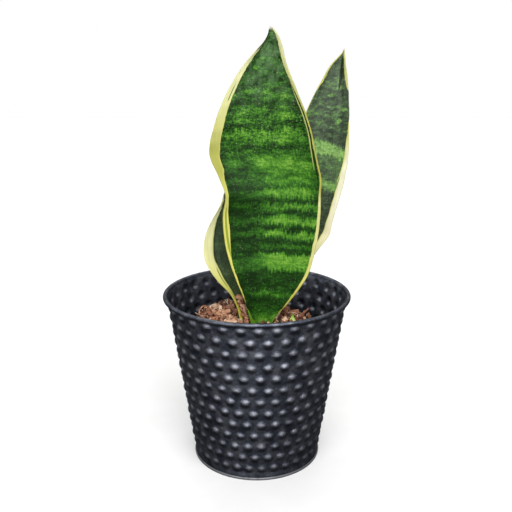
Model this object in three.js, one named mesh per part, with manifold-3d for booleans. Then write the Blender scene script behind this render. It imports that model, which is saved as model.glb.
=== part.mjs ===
// A young snake plant in its nursery pot, standing in a black embossed metal pot.
// Millimetres, +Z up. The metal pot's axis is the Z axis and its foot stands on z = 0.
// The plant is seen from the front when looking along +Y, with +X to the right.

import * as THREE from 'three';
import { mergeVertices } from 'three/addons/utils/BufferGeometryUtils.js';
import Module from 'manifold-3d';

const gap = 0.3; // clearance between pieces that touch

// Metal pot: a rolled sheet wall, wired at the rim and seamed to a pressed base at the foot.
const potHeight = 134;
const rimRadius = 72.5; // outside of the wired rim
const rimBead = 3.4; // diameter of the wired rim
const sheet = 0.5;
const footRadius = 50.5; // outside of the seam at the foot
const footSeam = 2.0; // height of that seam
const baseRecess = 2.1; // the base plate's underside above the floor
const roundSides = 60; // sides of everything turned about the pot's axis

// Nursery pot, standing a little left of the metal pot's middle.
const nurseryCentre = -3;
const nurseryRim = 104; // height of its rim above the floor
const nurseryTopRadius = 49.4;
const nurseryFootRadius = 38;
const nurseryWall = 1.2;
const nurseryLip = 2; // how far its rim stands out
const nurserySides = 48;
const drainHoles = 6;
const drainHoleRadius = 4;

// Potting mix, mounded above the nursery pot's rim.
const mixTop = 112;
const mixShoulder = 41; // radius where the mound starts to fall away

// Rhizome lying in the mix, with the leaves on top and the roots below.
const rhizomeRadius = 7.5;
const rhizomeLength = 54;
const rhizomeMiddle = new THREE.Vector3(8, -2, 88.5);
const rhizomeScars = 6; // rings that old scale leaves have left on it
const rootRadius = 1.6;
const growthFoot = rhizomeMiddle.z + rhizomeRadius + gap; // leaves and shoot start on top of it
const pocketDrop = 6; // their pockets in the mix run down into the rhizome's own

// Leaves: each section is a height, the left margin (across, depth), the right margin (across,
// depth) and the wrap, which is half of the angle in degrees that the channelled blade bends through.
const leafEdge = 1.2; // thickness at the margins
const leafColumns = 8; // facets from margin to margin

const frontLeaf = {
  sections: [
    [growthFoot, -1, -8, 8.5, -8, 60],
    [108, -3, -12, 9, -12, 60],
    [118, -5, -15, 14, -14, 55],
    [131, -9, -16, 23, -17, 46],
    [150, -16.5, -17, 34.5, -20, 36],
    [175, -23, -17, 41.5, -22, 30],
    [198, -24.5, -18, 45.5, -23, 28],
    [213, -22.5, -20, 45.5, -23, 30],
    [225, -27, -17, 45.5, -23, 28],
    [240, -33.5, -15, 42, -23, 27],
    [262, -30, -15, 37, -21, 27],
    [285, -20.5, -13, 28, -18, 30],
    [305, -8, -11, 20, -14, 38],
    [320, 4, -9, 15.5, -11, 50],
    [329, 9.2, -8, 10.2, -8, 60],
  ],
  rows: 34,
  footThickness: 5.5,
  bladeThickness: 3.4,
};

const rightLeaf = {
  sections: [
    [growthFoot, 7, 2.5, 16, 2.5, 60],
    [104, 6, 7, 16, 6, 60],
    [112, 5, 9, 17, 8, 58],
    [130, 6, 13, 24, 9, 50],
    [150, 11, 16, 38, 11, 40],
    [170, 18, 18, 50.5, 12, 34],
    [190, 23, 20, 58.5, 13, 30],
    [212, 27, 22, 65.5, 14, 28],
    [232, 30, 24, 69, 15, 28],
    [252, 33.5, 25, 69.5, 17, 30],
    [272, 39, 25, 69, 19, 34],
    [290, 48, 25, 68, 22, 40],
    [304, 56, 25.5, 66, 24, 48],
    [313, 64.3, 26, 65, 26, 60],
  ],
  rows: 28,
  footThickness: 5,
  bladeThickness: 3,
};

const leftLeaf = {
  sections: [
    [growthFoot, -11, -7, -7, 3, 60],
    [112, -7.5, -8.5, -3, 5, 60],
    [122, -10, -5, -3, 8, 54],
    [132, -20, -1, -3, 12, 44],
    [142, -31, 3, -3, 15, 38],
    [155, -39.5, 8, -3, 18, 34],
    [170, -40.5, 12, -4, 21, 32],
    [185, -36, 16, -8, 23, 32],
    [200, -30, 20, -17, 24, 38],
    [208, -26.4, 22, -25.7, 22, 60],
  ],
  rows: 24,
  footThickness: 5,
  bladeThickness: 2.8,
};

const shoot = { across: 27.5, depth: -7, foot: growthFoot, soil: 112, tip: 118.5, radius: 2.6 };

// Larger husk chips lying on the mix: across, depth, length, width, turn in degrees.
const chips = [
  [-21, -16, 11, 8, 20],
  [-33, -10, 8, 5, 70],
  [-38, 3, 7, 5, -30],
  [-30, 8, 9, 5, 10],
  [-22, 20, 8, 6, 50],
  [-10, 30, 9, 5, -20],
  [10, 28, 8, 5, 35],
  [21, 20, 9, 6, -50],
  [30, 8, 7, 5, 15],
  [30, -20, 8, 5, -35],
  [16, -24, 9, 6, 60],
  [2, -28, 8, 5, -10],
  [-14, -29, 9, 5, 30],
  [-30, -22, 8, 6, -60],
];
const chipThickness = 2.6;
const chipCorners = [0.06, 0.21, 0.36, 0.52, 0.69, 0.87]; // corners round a chip, as turns
const fibreRadius = 0.6;

const wasm = await Module();
wasm.setup();

// Merges the corners that faces share and turns the faces outwards.
function closedSolid(geometry) {
  geometry.deleteAttribute('normal');
  geometry.deleteAttribute('uv');
  const merged = mergeVertices(geometry, 1e-4);
  const index = Array.from(merged.index.array);
  const corner = (i) => new THREE.Vector3().fromBufferAttribute(merged.attributes.position, index[i]);
  const faces = [];
  let volume = 0;
  for (let i = 0; i < index.length; i += 3) {
    const face = index.slice(i, i + 3);
    if (new Set(face).size === 3) {
      faces.push(face);
      volume += corner(i).dot(corner(i + 1).cross(corner(i + 2)));
    }
  }
  merged.setIndex(faces.flatMap(([a, b, c]) => (volume > 0 ? [a, b, c] : [a, c, b])));
  return merged;
}

// A closed geometry as a solid that can be joined and cut.
function toManifold(geometry) {
  const vertProperties = new Float32Array(geometry.attributes.position.array);
  const triVerts = new Uint32Array(geometry.index.array);
  return new wasm.Manifold(new wasm.Mesh({ numProp: 3, vertProperties, triVerts }));
}

// A joined or cut solid as a geometry again.
function fromManifold(manifold) {
  const mesh = manifold.getMesh();
  const geometry = new THREE.BufferGeometry();
  geometry.setAttribute('position', new THREE.BufferAttribute(mesh.vertProperties, 3));
  geometry.setIndex(Array.from(mesh.triVerts));
  return geometry;
}

function cut(geometry, cutters) {
  const left = cutters.reduce((rest, cutter) => rest.subtract(toManifold(cutter)), toManifold(geometry));
  return fromManifold(left);
}

// A closed profile of [radius, height] points turned about the Z axis.
function turned(profile, sides) {
  const points = [...profile, profile[0]].map(([radius, height]) => new THREE.Vector2(radius, height));
  return closedSolid(new THREE.LatheGeometry(points, sides).rotateX(Math.PI / 2));
}

// Points along an arc about [radius, height], from one angle to another in degrees.
function arc([centreRadius, centreHeight], radius, from, to, steps) {
  return Array.from({ length: steps + 1 }, (_, i) => {
    const angle = THREE.MathUtils.degToRad(from + ((to - from) * i) / steps);
    return [centreRadius + radius * Math.cos(angle), centreHeight + radius * Math.sin(angle)];
  });
}

// A round bar along a curve.
function bar(points, radius, steps, sides = 8) {
  const curve = new THREE.CatmullRomCurve3(points.map((point) => new THREE.Vector3(...point)));
  const section = new THREE.Shape(
    Array.from({ length: sides }, (_, i) => {
      const angle = (2 * Math.PI * i) / sides;
      return new THREE.Vector2(radius * Math.cos(angle), radius * Math.sin(angle));
    }),
  );
  return closedSolid(new THREE.ExtrudeGeometry(section, { steps, extrudePath: curve, bevelEnabled: false }));
}

const beadRadius = rimBead / 2;
const beadCentre = [rimRadius - beadRadius, potHeight - beadRadius];
const beadFoot = beadCentre[1];

// Outer radius of the metal wall at a height, from the foot seam up to the bead.
function wallOuter(height) {
  const foot = footRadius - 2 * sheet - gap;
  const top = rimRadius - rimBead + sheet;
  return foot + ((top - foot) * height) / beadFoot;
}

// The wall ends inside the foot seam and rolls outwards round the wire at the rim.
function potWallGeometry() {
  const wallFoot = sheet + gap;
  const slit = 200; // the roll stops here, short of the wall again
  return turned(
    [
      [wallOuter(wallFoot), wallFoot],
      [wallOuter(beadFoot - beadRadius), beadFoot - beadRadius],
      ...arc(beadCentre, beadRadius - sheet, 180, slit - 360, 9),
      ...arc(beadCentre, beadRadius, slit - 360, 180, 10),
      [wallOuter(wallFoot) - sheet, wallFoot],
    ],
    roundSides,
  );
}

function rimWireGeometry() {
  const ring = arc(beadCentre, beadRadius - sheet - gap, 0, 360 - 60, 5);
  return turned(ring, roundSides);
}

// A pressed plate whose edge turns down and round the wall's foot.
function potBaseGeometry() {
  const seamOuter = footRadius;
  const lipInner = wallOuter(footSeam) + gap;
  const flangeOuter = wallOuter(sheet + gap) - sheet - gap;
  return turned(
    [
      [0, baseRecess],
      [flangeOuter - sheet, baseRecess],
      [flangeOuter - sheet, 0],
      [seamOuter, 0],
      [seamOuter, footSeam],
      [lipInner, footSeam],
      [lipInner, sheet],
      [flangeOuter, sheet],
      [flangeOuter, baseRecess + sheet],
      [0, baseRecess + sheet],
    ],
    roundSides,
  );
}

const nurseryFoot = baseRecess + sheet + gap;

// Inner radius of the nursery pot at a height.
function nurseryInner(height) {
  const share = (height - nurseryFoot) / (nurseryRim - nurseryFoot);
  return nurseryFootRadius + (nurseryTopRadius - nurseryFootRadius) * share - nurseryWall;
}

function nurseryPotGeometry() {
  const lipHeight = 5;
  const floorTop = nurseryFoot + nurseryWall;
  const lipFoot = nurseryRim - lipHeight;
  const shell = turned(
    [
      [0, nurseryFoot],
      [nurseryFootRadius, nurseryFoot],
      [nurseryInner(lipFoot) + nurseryWall, lipFoot],
      [nurseryTopRadius + nurseryLip, lipFoot],
      [nurseryTopRadius + nurseryLip, nurseryRim],
      [nurseryTopRadius - nurseryWall, nurseryRim],
      [nurseryInner(floorTop), floorTop],
      [0, floorTop],
    ],
    nurserySides,
  );
  const holes = Array.from({ length: drainHoles }, (_, i) => {
    const angle = (2 * Math.PI * i) / drainHoles;
    const ring = nurseryFootRadius * 0.68;
    const hole = new THREE.CylinderGeometry(drainHoleRadius, drainHoleRadius, 4 * nurseryWall, 12);
    hole.rotateX(Math.PI / 2);
    hole.translate(ring * Math.cos(angle), ring * Math.sin(angle), nurseryFoot + nurseryWall / 2);
    return closedSolid(hole);
  });
  return cut(shell, holes);
}

// One leaf, from its foot to its tip. For the pocket that it stands in, clearance makes it that
// much larger all round, and rows stop once they are above the given height.
function leafGeometry(leaf, clearance = 0, height = Infinity) {
  const { sections, rows } = leaf;
  const ring = 2 * (leafColumns + 1);
  const leftMargin = new THREE.CatmullRomCurve3(sections.map(([z, x, y]) => new THREE.Vector3(x, y, z)));
  const rightMargin = new THREE.CatmullRomCurve3(sections.map(([z, , , x, y]) => new THREE.Vector3(x, y, z)));
  const positions = [];
  let reached = 0;
  for (let row = 0; row <= rows && reached < height; row += 1) {
    const t = row / rows;
    const left = leftMargin.getPoint(t);
    const right = rightMargin.getPoint(t);
    reached = left.z;
    const along = t * (sections.length - 1);
    const station = Math.min(Math.floor(along), sections.length - 2);
    const wrapDegrees = THREE.MathUtils.lerp(sections[station][5], sections[station + 1][5], along - station);
    const wrap = THREE.MathUtils.degToRad(wrapDegrees);
    const blade = leafSection(left, right, wrap, bladeThickness(leaf, left.z), clearance);
    if (row === 0 && clearance > 0) {
      positions.push(...blade.flatMap((point) => [point.x, point.y, point.z - pocketDrop]));
    }
    positions.push(...blade.flatMap((point) => [point.x, point.y, point.z]));
  }
  const geometry = new THREE.BufferGeometry();
  geometry.setAttribute('position', new THREE.Float32BufferAttribute(positions, 3));
  geometry.setIndex(sleeveFaces(positions.length / 3 / ring - 1, ring));
  return closedSolid(geometry);
}

// Thickness in the middle of the blade: thick at the foot, thinning evenly to the tip.
function bladeThickness(leaf, height) {
  const foot = leaf.sections[0][0];
  const tip = leaf.sections[leaf.sections.length - 1][0];
  const share = (height - foot) / (tip - foot);
  const swelling = (leaf.footThickness - leaf.bladeThickness) * Math.exp(-8 * share);
  return swelling + THREE.MathUtils.lerp(leaf.bladeThickness, leafEdge, share * share);
}

// The closed outline of a leaf at one height: along its channelled face and back along its rounded back.
function leafSection(left, right, wrap, middle, clearance) {
  const chord = right.clone().sub(left);
  const half = chord.length() / 2 + clearance;
  const across = chord.normalize();
  const back = new THREE.Vector3(-across.y, across.x, 0).normalize();
  const centre = left.clone().lerp(right, 0.5);
  const face = [];
  const rear = [];
  for (let column = 0; column <= leafColumns; column += 1) {
    const s = (2 * column) / leafColumns - 1;
    const outwards = across.clone().multiplyScalar(Math.sin(s * wrap));
    outwards.addScaledVector(back, Math.cos(s * wrap));
    const point = centre.clone().addScaledVector(outwards, half / Math.sin(wrap));
    point.addScaledVector(back, -half / Math.tan(wrap));
    const thickness = leafEdge + (middle - leafEdge) * (1 - s * s);
    face.push(point.clone().addScaledVector(outwards, -clearance));
    rear.unshift(point.clone().addScaledVector(outwards, thickness + clearance));
  }
  return [...face, ...rear];
}

// Faces of a sleeve of rings, each with the same number of points, closed flat at both ends.
function sleeveFaces(rows, ring) {
  const faces = [];
  const quad = (a, b, c, d) => faces.push(a, b, c, a, c, d);
  for (let row = 0; row < rows; row += 1) {
    for (let i = 0; i < ring; i += 1) {
      const next = (i + 1) % ring;
      quad(row * ring + i, row * ring + next, (row + 1) * ring + next, (row + 1) * ring + i);
    }
  }
  const last = rows * ring;
  for (let i = 0; i < ring / 2 - 1; i += 1) {
    const opposite = ring - 1 - i;
    quad(i + 1, i, opposite, opposite - 1);
    quad(last + i, last + i + 1, last + opposite - 1, last + opposite);
  }
  return faces;
}

// The thick creeping stem, rounded at both ends and ringed by old scale leaves.
function rhizomeGeometry(clearance = 0) {
  const steps = 24;
  const profile = Array.from({ length: steps + 1 }, (_, i) => {
    const share = i / steps;
    const along = (share - 0.5) * (rhizomeLength + 2 * clearance);
    const rings = 0.4 * Math.cos(2 * Math.PI * rhizomeScars * share);
    const roundEnd = Math.sqrt(1 - Math.abs(2 * share - 1) ** 6);
    return [Math.max(0, (rhizomeRadius + clearance - 0.4 + rings) * roundEnd), along];
  });
  const stem = new THREE.LatheGeometry(profile.map(([radius, along]) => new THREE.Vector2(radius, along)), 14);
  stem.rotateZ(Math.PI / 2);
  stem.translate(...rhizomeMiddle.toArray());
  return closedSolid(stem);
}

// Roots leave the rhizome's underside side by side and fan out to the nursery pot's wall.
const rootCount = 6;

function rootPoints(i, longer = 0) {
  const angle = (Math.PI * 2 * (i + 0.5)) / rootCount;
  const fan = [Math.cos(angle), Math.sin(angle)];
  const across = rhizomeMiddle.x + 15 * fan[0];
  const depth = rhizomeMiddle.y + 4 * fan[1];
  const reach = 27 + 3 * Math.cos(3 * i);
  const low = 18 + 9 * (i % 3);
  const underside = rhizomeMiddle.z - rhizomeRadius - 2 * gap;
  return [
    [across, depth, underside + 3 * longer],
    [across + 3 * fan[0], depth + 4 * fan[1], 66],
    [nurseryCentre + 0.8 * reach * fan[0] + 2, 0.8 * reach * fan[1], 46],
    [nurseryCentre + reach * fan[0], reach * fan[1], low - longer],
  ];
}

function rootGeometry(i) {
  return bar(rootPoints(i), rootRadius, 14, 6);
}

// Its pocket in the mix opens into the rhizome's.
function rootPocket(i) {
  return bar(rootPoints(i, 2 * gap), rootRadius + 2 * gap, 14, 6);
}

function shootProfile(clearance) {
  const { foot, soil, tip, radius } = shoot;
  const drop = clearance > 0 ? pocketDrop : 0;
  return [
    [0, foot - drop],
    [radius + clearance, foot - drop],
    [radius + clearance, soil],
    [0.62 * radius + clearance, (soil + tip) / 2],
    [0, tip + clearance],
  ];
}

function shootGeometry(clearance = 0) {
  return turned(shootProfile(clearance), 10).translate(shoot.across, shoot.depth, 0);
}

// The mix fills the nursery pot and is mounded above it, with a pocket for everything that grows in it.
function pottingMixGeometry() {
  const floor = nurseryFoot + nurseryWall + gap;
  const brim = nurseryRim - 1;
  const body = turned(
    [
      [0, floor],
      [nurseryInner(floor) - gap, floor],
      [nurseryInner(brim) - gap, brim],
      [mixShoulder + 4, mixTop - 2],
      [mixShoulder, mixTop],
      [0, mixTop],
    ],
    nurserySides,
  );
  const pockets = [
    rhizomeGeometry(gap),
    ...[frontLeaf, rightLeaf, leftLeaf].map((leaf) => leafGeometry(leaf, gap, mixTop)),
    shootGeometry(gap),
    ...Array.from({ length: rootCount }, (_, i) => rootPocket(i)),
  ];
  pockets.forEach((pocket) => pocket.translate(-nurseryCentre, 0, 0));
  return cut(body, pockets);
}

// A flat husk chip with six uneven corners, lying on the mix.
function chipGeometry([across, depth, length, width, turn]) {
  const outline = chipCorners.map((corner, i) => {
    const angle = 2 * Math.PI * corner;
    const reach = i % 2 === 0 ? 0.5 : 0.43;
    return new THREE.Vector2(length * reach * Math.cos(angle), width * reach * Math.sin(angle));
  });
  const chip = new THREE.ExtrudeGeometry(new THREE.Shape(outline), { depth: chipThickness, bevelEnabled: false });
  chip.rotateZ(THREE.MathUtils.degToRad(turn));
  chip.translate(across, depth, mixTop + gap);
  return closedSolid(chip);
}

// A curl of husk fibre standing on its two ends at the left, and a short twig leaning at the right.
function fibreCurlGeometry() {
  const low = mixTop + gap + fibreRadius;
  const points = [
    [-36, 12, low],
    [-42, 8, low + 1.5],
    [-45, 2, low + 4],
    [-43, -4, low + 2.5],
    [-37, -5, low],
  ];
  return bar(points, fibreRadius, 16);
}

function twigGeometry() {
  const low = mixTop + gap + 2 * fibreRadius;
  return bar([[32, -4, low], [36.5, -2, low + 3], [40.5, 0, low + 6.5]], fibreRadius, 4);
}

const plant = new THREE.Group();
const nursery = new THREE.Group();
nursery.position.x = nurseryCentre;
plant.add(nursery);

function finish(color, roughness, metalness = 0) {
  return new THREE.MeshStandardMaterial({ color, roughness, metalness });
}

function addPiece(parent, name, geometry, material) {
  const mesh = new THREE.Mesh(geometry, material);
  mesh.name = name;
  parent.add(mesh);
}

addPiece(plant, 'pot_wall', potWallGeometry(), finish('#2b2d33', 0.4, 0.3));
addPiece(plant, 'rim_wire', rimWireGeometry(), finish('#8a8c8f', 0.4, 1));
addPiece(plant, 'pot_base', potBaseGeometry(), finish('#3a3c41', 0.4, 0.3));
addPiece(nursery, 'nursery_pot', nurseryPotGeometry(), finish('#1b1b1c', 0.6));
addPiece(nursery, 'potting_mix', pottingMixGeometry(), finish('#5b3826', 0.95));
addPiece(plant, 'rhizome', rhizomeGeometry(), finish('#b98a4e', 0.7));
for (let i = 0; i < rootCount; i += 1) {
  addPiece(plant, `root_${i + 1}`, rootGeometry(i), finish('#c9a268', 0.8));
}
addPiece(plant, 'leaf_front', leafGeometry(frontLeaf), finish('#2f6b1d', 0.45));
addPiece(plant, 'leaf_right', leafGeometry(rightLeaf), finish('#43603f', 0.45));
addPiece(plant, 'leaf_left', leafGeometry(leftLeaf), finish('#2c4030', 0.45));
addPiece(plant, 'new_shoot', shootGeometry(), finish('#8fc43e', 0.45));
chips.forEach((chip, i) => {
  addPiece(plant, `husk_chip_${i + 1}`, chipGeometry(chip), finish('#a56f4d', 0.9));
});
addPiece(plant, 'fibre_curl', fibreCurlGeometry(), finish('#9c6040', 0.9));
addPiece(plant, 'twig', twigGeometry(), finish('#8a4f30', 0.9));

export default plant;
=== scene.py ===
import math
import random

import bpy
from mathutils import Euler, Matrix, Vector, noise


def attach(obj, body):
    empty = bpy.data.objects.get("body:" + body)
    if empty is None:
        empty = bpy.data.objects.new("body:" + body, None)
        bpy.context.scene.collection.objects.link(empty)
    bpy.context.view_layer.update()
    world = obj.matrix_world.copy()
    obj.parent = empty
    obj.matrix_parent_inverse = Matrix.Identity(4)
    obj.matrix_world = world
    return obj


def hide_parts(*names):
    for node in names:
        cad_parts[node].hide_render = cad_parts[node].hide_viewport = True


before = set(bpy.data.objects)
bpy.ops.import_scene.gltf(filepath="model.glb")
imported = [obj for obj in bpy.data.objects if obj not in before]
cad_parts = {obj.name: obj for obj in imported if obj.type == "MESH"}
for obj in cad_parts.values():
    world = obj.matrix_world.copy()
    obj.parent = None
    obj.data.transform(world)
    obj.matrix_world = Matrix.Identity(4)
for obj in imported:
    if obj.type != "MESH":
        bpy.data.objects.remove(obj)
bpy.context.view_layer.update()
bpy.ops.object.select_all(action="DESELECT")

mm = 0.001
studio = bpy.context.scene
studio.view_settings.view_transform = "Standard"  # keeps the pale ground pale and the greens clear

# The camera of the photograph: a little above the rim, looking down at the pot.
cameraSetup = {"place": (-0.0006, -0.510, 0.299), "down": 15.0, "lens": 48.45, "sensor": 36.0}
bpy.ops.object.camera_add(
    location=cameraSetup["place"],
    rotation=(math.radians(90 - cameraSetup["down"]), 0, 0),
)
camera = bpy.context.object
camera.name = "camera"
camera.data.lens = cameraSetup["lens"]
camera.data.sensor_width = cameraSetup["sensor"]
camera.data.clip_start = 0.01
studio.camera = camera
print("camera placed")


def toLinear(hexColour):
    channels = [int(hexColour[i:i + 2], 16) / 255 for i in (1, 3, 5)]
    return [c / 12.92 if c <= 0.04045 else ((c + 0.055) / 1.055) ** 2.4 for c in channels] + [1.0]


def feed(tree, socket, value):  # with a number, a hex colour, a node, or a node and one of its outputs
    if isinstance(value, bpy.types.Node):
        stored = value.bl_idname == "ShaderNodeAttribute"
        value = (value, 2 if stored or getattr(value, "data_type", "") == "RGBA" else 0)
    if isinstance(value, tuple) and isinstance(value[0], bpy.types.Node):
        tree.links.new(value[0].outputs[value[1]], socket)
    else:
        socket.default_value = toLinear(value) if isinstance(value, str) else value


# A node's settings are its own properties or, by name or number, what feeds its inputs. Stops
# fill a ramp, and From and To give both ends of a range.
def setNode(tree, node, settings):
    for name, value in settings.items():
        if name == "stops":
            stops = node.color_ramp.elements
            stops.remove(stops[-1])
            for i, (place, colour) in enumerate(value):
                stop = stops[0] if i == 0 else stops.new(place)
                stop.position = place
                stop.color = toLinear(colour) if isinstance(colour, str) else (colour, colour, colour, 1)
        elif name in ("From", "To"):
            for end, number in zip((" Min", " Max"), value):
                feed(tree, node.inputs[name + end], number)
        elif isinstance(name, str) and hasattr(node, name):
            setattr(node, name, value)
        else:
            feed(tree, node.inputs[name], value)
    return node


def addNode(tree, kind, settings):  # a Math or Mix node's kind ends with what it works out
    kind, _, work = kind.partition(" ")
    node = tree.nodes.new("ShaderNode" + kind)
    if work:
        setattr(node, "data_type" if kind == "Mix" else "operation", work)
    return setNode(tree, node, settings)


def startMaterial(name):
    material = bpy.data.materials.new(name)
    material.use_nodes = True
    return material, material.node_tree


def finishMaterial(material, sockets):
    setNode(material.node_tree, material.node_tree.nodes["Principled BSDF"], sockets)
    return material


def grain(size):  # noise scale that gives spots of that many mm
    return 1000 / size


# A material that is all one mottle: its colour, and its relief if it has any, follow one noise.
def mottledMaterial(name, size, detail, rough, stops, sockets, relief=None):
    material, tree = startMaterial(name)
    spots = addNode(tree, "TexNoise", {
        "Scale": grain(size), "Detail": detail, "Roughness": rough,
        "Vector": (addNode(tree, "TexCoord", {}), "Object")})
    sockets["Base Color"] = addNode(tree, "ValToRGB", {0: spots, "stops": stops})
    if relief:
        strength, depth = relief
        sockets["Normal"] = addNode(tree, "Bump", {
            "Strength": strength, "Distance": depth * mm, "Height": spots})
    return finishMaterial(material, sockets)


def makeActive(piece):
    bpy.ops.object.select_all(action="DESELECT")
    piece.select_set(True)
    bpy.context.view_layer.objects.active = piece


# Applies what is left open on a piece, gives it its material, and ties it to the frame.
def finishPiece(piece, name, material, node=None, smooth=None):
    makeActive(piece)
    for modifier in list(piece.modifiers):
        bpy.ops.object.modifier_apply(modifier=modifier.name)
    bpy.ops.object.transform_apply(location=True, rotation=True, scale=True)
    if smooth is not None:
        bpy.ops.object.shade_smooth_by_angle(angle=math.radians(smooth))
    piece.name = piece.data.name = name
    piece.data.materials.clear()
    piece.data.materials.append(material)
    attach(piece, "root")
    if node:
        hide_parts(node)


# A profile of (radius, height) in mm, turned ring by ring round an upright axis.
def turnProfile(profile, around, across=0.0):
    radius, height = profile[0]
    bpy.ops.object.select_all(action="DESELECT")
    bpy.ops.mesh.primitive_circle_add(
        vertices=around, radius=radius * mm, location=(across * mm, 0, height * mm))
    piece = bpy.context.object
    bpy.ops.object.mode_set(mode="EDIT")
    bpy.ops.mesh.select_all(action="SELECT")
    for nextRadius, nextHeight in profile[1:]:
        bpy.ops.mesh.extrude_region_move(
            TRANSFORM_OT_translate={"value": (0, 0, (nextHeight - height) * mm)})
        wider = nextRadius / radius
        bpy.ops.transform.resize(
            value=(wider, wider, 1), center_override=(across * mm, 0, nextHeight * mm))
        radius, height = nextRadius, nextHeight
    bpy.ops.mesh.select_all(action="SELECT")
    bpy.ops.mesh.remove_doubles(threshold=0.03 * mm)
    bpy.ops.mesh.normals_make_consistent(inside=False)
    bpy.ops.object.mode_set(mode="OBJECT")
    bpy.ops.object.transform_apply(location=True, rotation=True, scale=True)
    return piece


# An upright tube, 1 high and 1 in radius, whose sides are cut into rows.
def tubeBlank(around, cuts, ends="NOTHING"):
    bpy.ops.object.select_all(action="DESELECT")
    bpy.ops.mesh.primitive_cylinder_add(
        vertices=around, radius=1, depth=1, end_fill_type=ends, location=(0, 0, 0.5))
    bpy.ops.object.transform_apply(location=True, rotation=True, scale=True)
    piece = bpy.context.object
    for cut in cuts:
        bpy.ops.object.mode_set(mode="EDIT")
        bpy.ops.mesh.select_mode(type="EDGE")
        bpy.ops.mesh.select_all(action="DESELECT")
        bpy.ops.object.mode_set(mode="OBJECT")
        points = piece.data.vertices
        for edge in piece.data.edges:  # only the upright ones
            first, second = edge.vertices
            edge.select = abs(points[first].co.z - points[second].co.z) > 1e-5
        bpy.ops.object.mode_set(mode="EDIT")
        bpy.ops.mesh.subdivide(number_cuts=cut - 1)
        bpy.ops.object.mode_set(mode="OBJECT")
    return piece


def faceOutwards(piece):
    makeActive(piece)
    bpy.ops.object.mode_set(mode="EDIT")
    bpy.ops.mesh.select_all(action="SELECT")
    bpy.ops.mesh.normals_make_consistent(inside=False)
    bpy.ops.object.mode_set(mode="OBJECT")
    bpy.ops.object.shade_smooth()


def storeValues(piece, name, values):
    layer = piece.data.attributes.new(name, "FLOAT", "POINT")
    layer.data.foreach_set("value", values)


def between(low, high, value):  # 0 below low, 1 above high, smooth in the middle
    share = min(1.0, max(0.0, (value - low) / (high - low)))
    return share * share * (3 - 2 * share)


def lineAt(stations, height, k=1):  # straight lines from station to station, [height, value ...]
    for low, high in zip(stations, stations[1:]):
        if height <= high[0]:
            return low[k] + (high[k] - low[k]) * max(0.0, height - low[0]) / (high[0] - low[0])
    return stations[-1][k]


def curveAt(stations, height):  # smooth curves through the stations, [height, value, value ...]
    last = len(stations) - 2
    i = next((k for k in range(last + 1) if height <= stations[k + 1][0]), last)
    low, high = stations[i], stations[i + 1]
    span = high[0] - low[0]
    t = min(1.0, max(0.0, (height - low[0]) / span))

    def slope(k, column):  # at a station, from the lines on its two sides
        steps = []
        for a, b in ((k - 1, k), (k, k + 1)):
            if 0 <= a and b <= last + 1:
                run = stations[b][0] - stations[a][0]
                steps.append(((stations[b][column] - stations[a][column]) / run, run))
        if len(steps) == 1:
            return steps[0][0]
        (before, runBefore), (after, runAfter) = steps
        return (before * runAfter + after * runBefore) / (runBefore + runAfter)

    values = []
    for column in range(1, len(low)):
        start, end = slope(i, column) * span, slope(i + 1, column) * span
        values.append(
            low[column] * (2 * t ** 3 - 3 * t ** 2 + 1) + start * (t ** 3 - 2 * t ** 2 + t)
            + high[column] * (3 * t ** 2 - 2 * t ** 3) + end * (t ** 3 - t ** 2)
        )
    return values


potWall = {
    "footZ": 0.8,
    "topZ": 132.3,
    "footRadius": 49.2,  # outside, over the bumps, at the floor
    "topRadius": 69.6,
    "sheet": 0.5,
    "around": 455,
    "wallRows": 130,
    "beadRows": 12,
    "beadMiddle": (70.78, 132.3),
    "beadRadius": 1.43,  # to the middle of the rolled sheet
    "beadTurn": 250,  # degrees that the sheet is rolled through
    "plainFoot": (1.5, 7),  # heights over which the sheet sinks in between the bumps
    "plainRim": (128.5, 132.2),
    "bumpsEnd": (129.5, 131.5),
    "beadShadow": (128.3, 130.0),  # painted shadow under the bead
    "wobble": 0.16,  # the hand-rolled sheet isn't quite round
    "dentPaintedLight": -0.9,  # painted light on the inner face, against the outer one's
    "innerTop": 127,
    "hidden": (3, 92),  # heights where the mix hides the inner face
    "kept": 0.72,  # share of the faces kept when it is thinned
}
bumps = {
    "perRow": 33,
    "rows": 13,
    "firstZ": 9.75,
    "step": 9.71,
    "height": 1.2,
    "power": 1.3,  # a higher one gives sharper bumps
    "start": -1.1,
    "topReach": 4.05,  # radius of a bump near the rim
    "footReach": 3.7,
    "sunk": 0.7,  # how far the sheet between the bumps lies inside the outline
    "twist": -0.262,  # degrees that each row is turned on
    "uneven": 0.07,
    "seed": 4,
    # lit and shaded: where the painted highlight and the painted shade lie on each bump
    "lit": (0.26, 0.42, 0.92),  # middle, height and width, in reaches
    "shaded": (-0.68, 0.34, 0.75),
}
lapSeam = {
    "azimuth": 137.0, "halfWidth": 2.9, "edge": 0.9, "step": 0.45, "flattened": 0.35, "end": (126, 131)}


def wallRadius(height):
    return potWall["footRadius"] + (potWall["topRadius"] - potWall["footRadius"]) * height / potWall["topZ"]


def bumpField():
    dice = random.Random(bumps["seed"])
    pitch = 360 / bumps["perRow"]
    rows = []
    for k in range(bumps["rows"]):
        start = (0.5 * pitch if k % 2 == 0 else 0) + bumps["twist"] * k + bumps["start"]
        row = []
        for _ in range(bumps["perRow"]):
            spread = [dice.uniform(-1, 1) * bumps["uneven"] for _ in range(4)]
            row.append((1 + spread[0], 1 + spread[1] * 2, spread[2] * 2, spread[3] * 2))
        rows.append((bumps["firstZ"] + k * bumps["step"], start, row))
    return rows, pitch
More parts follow.
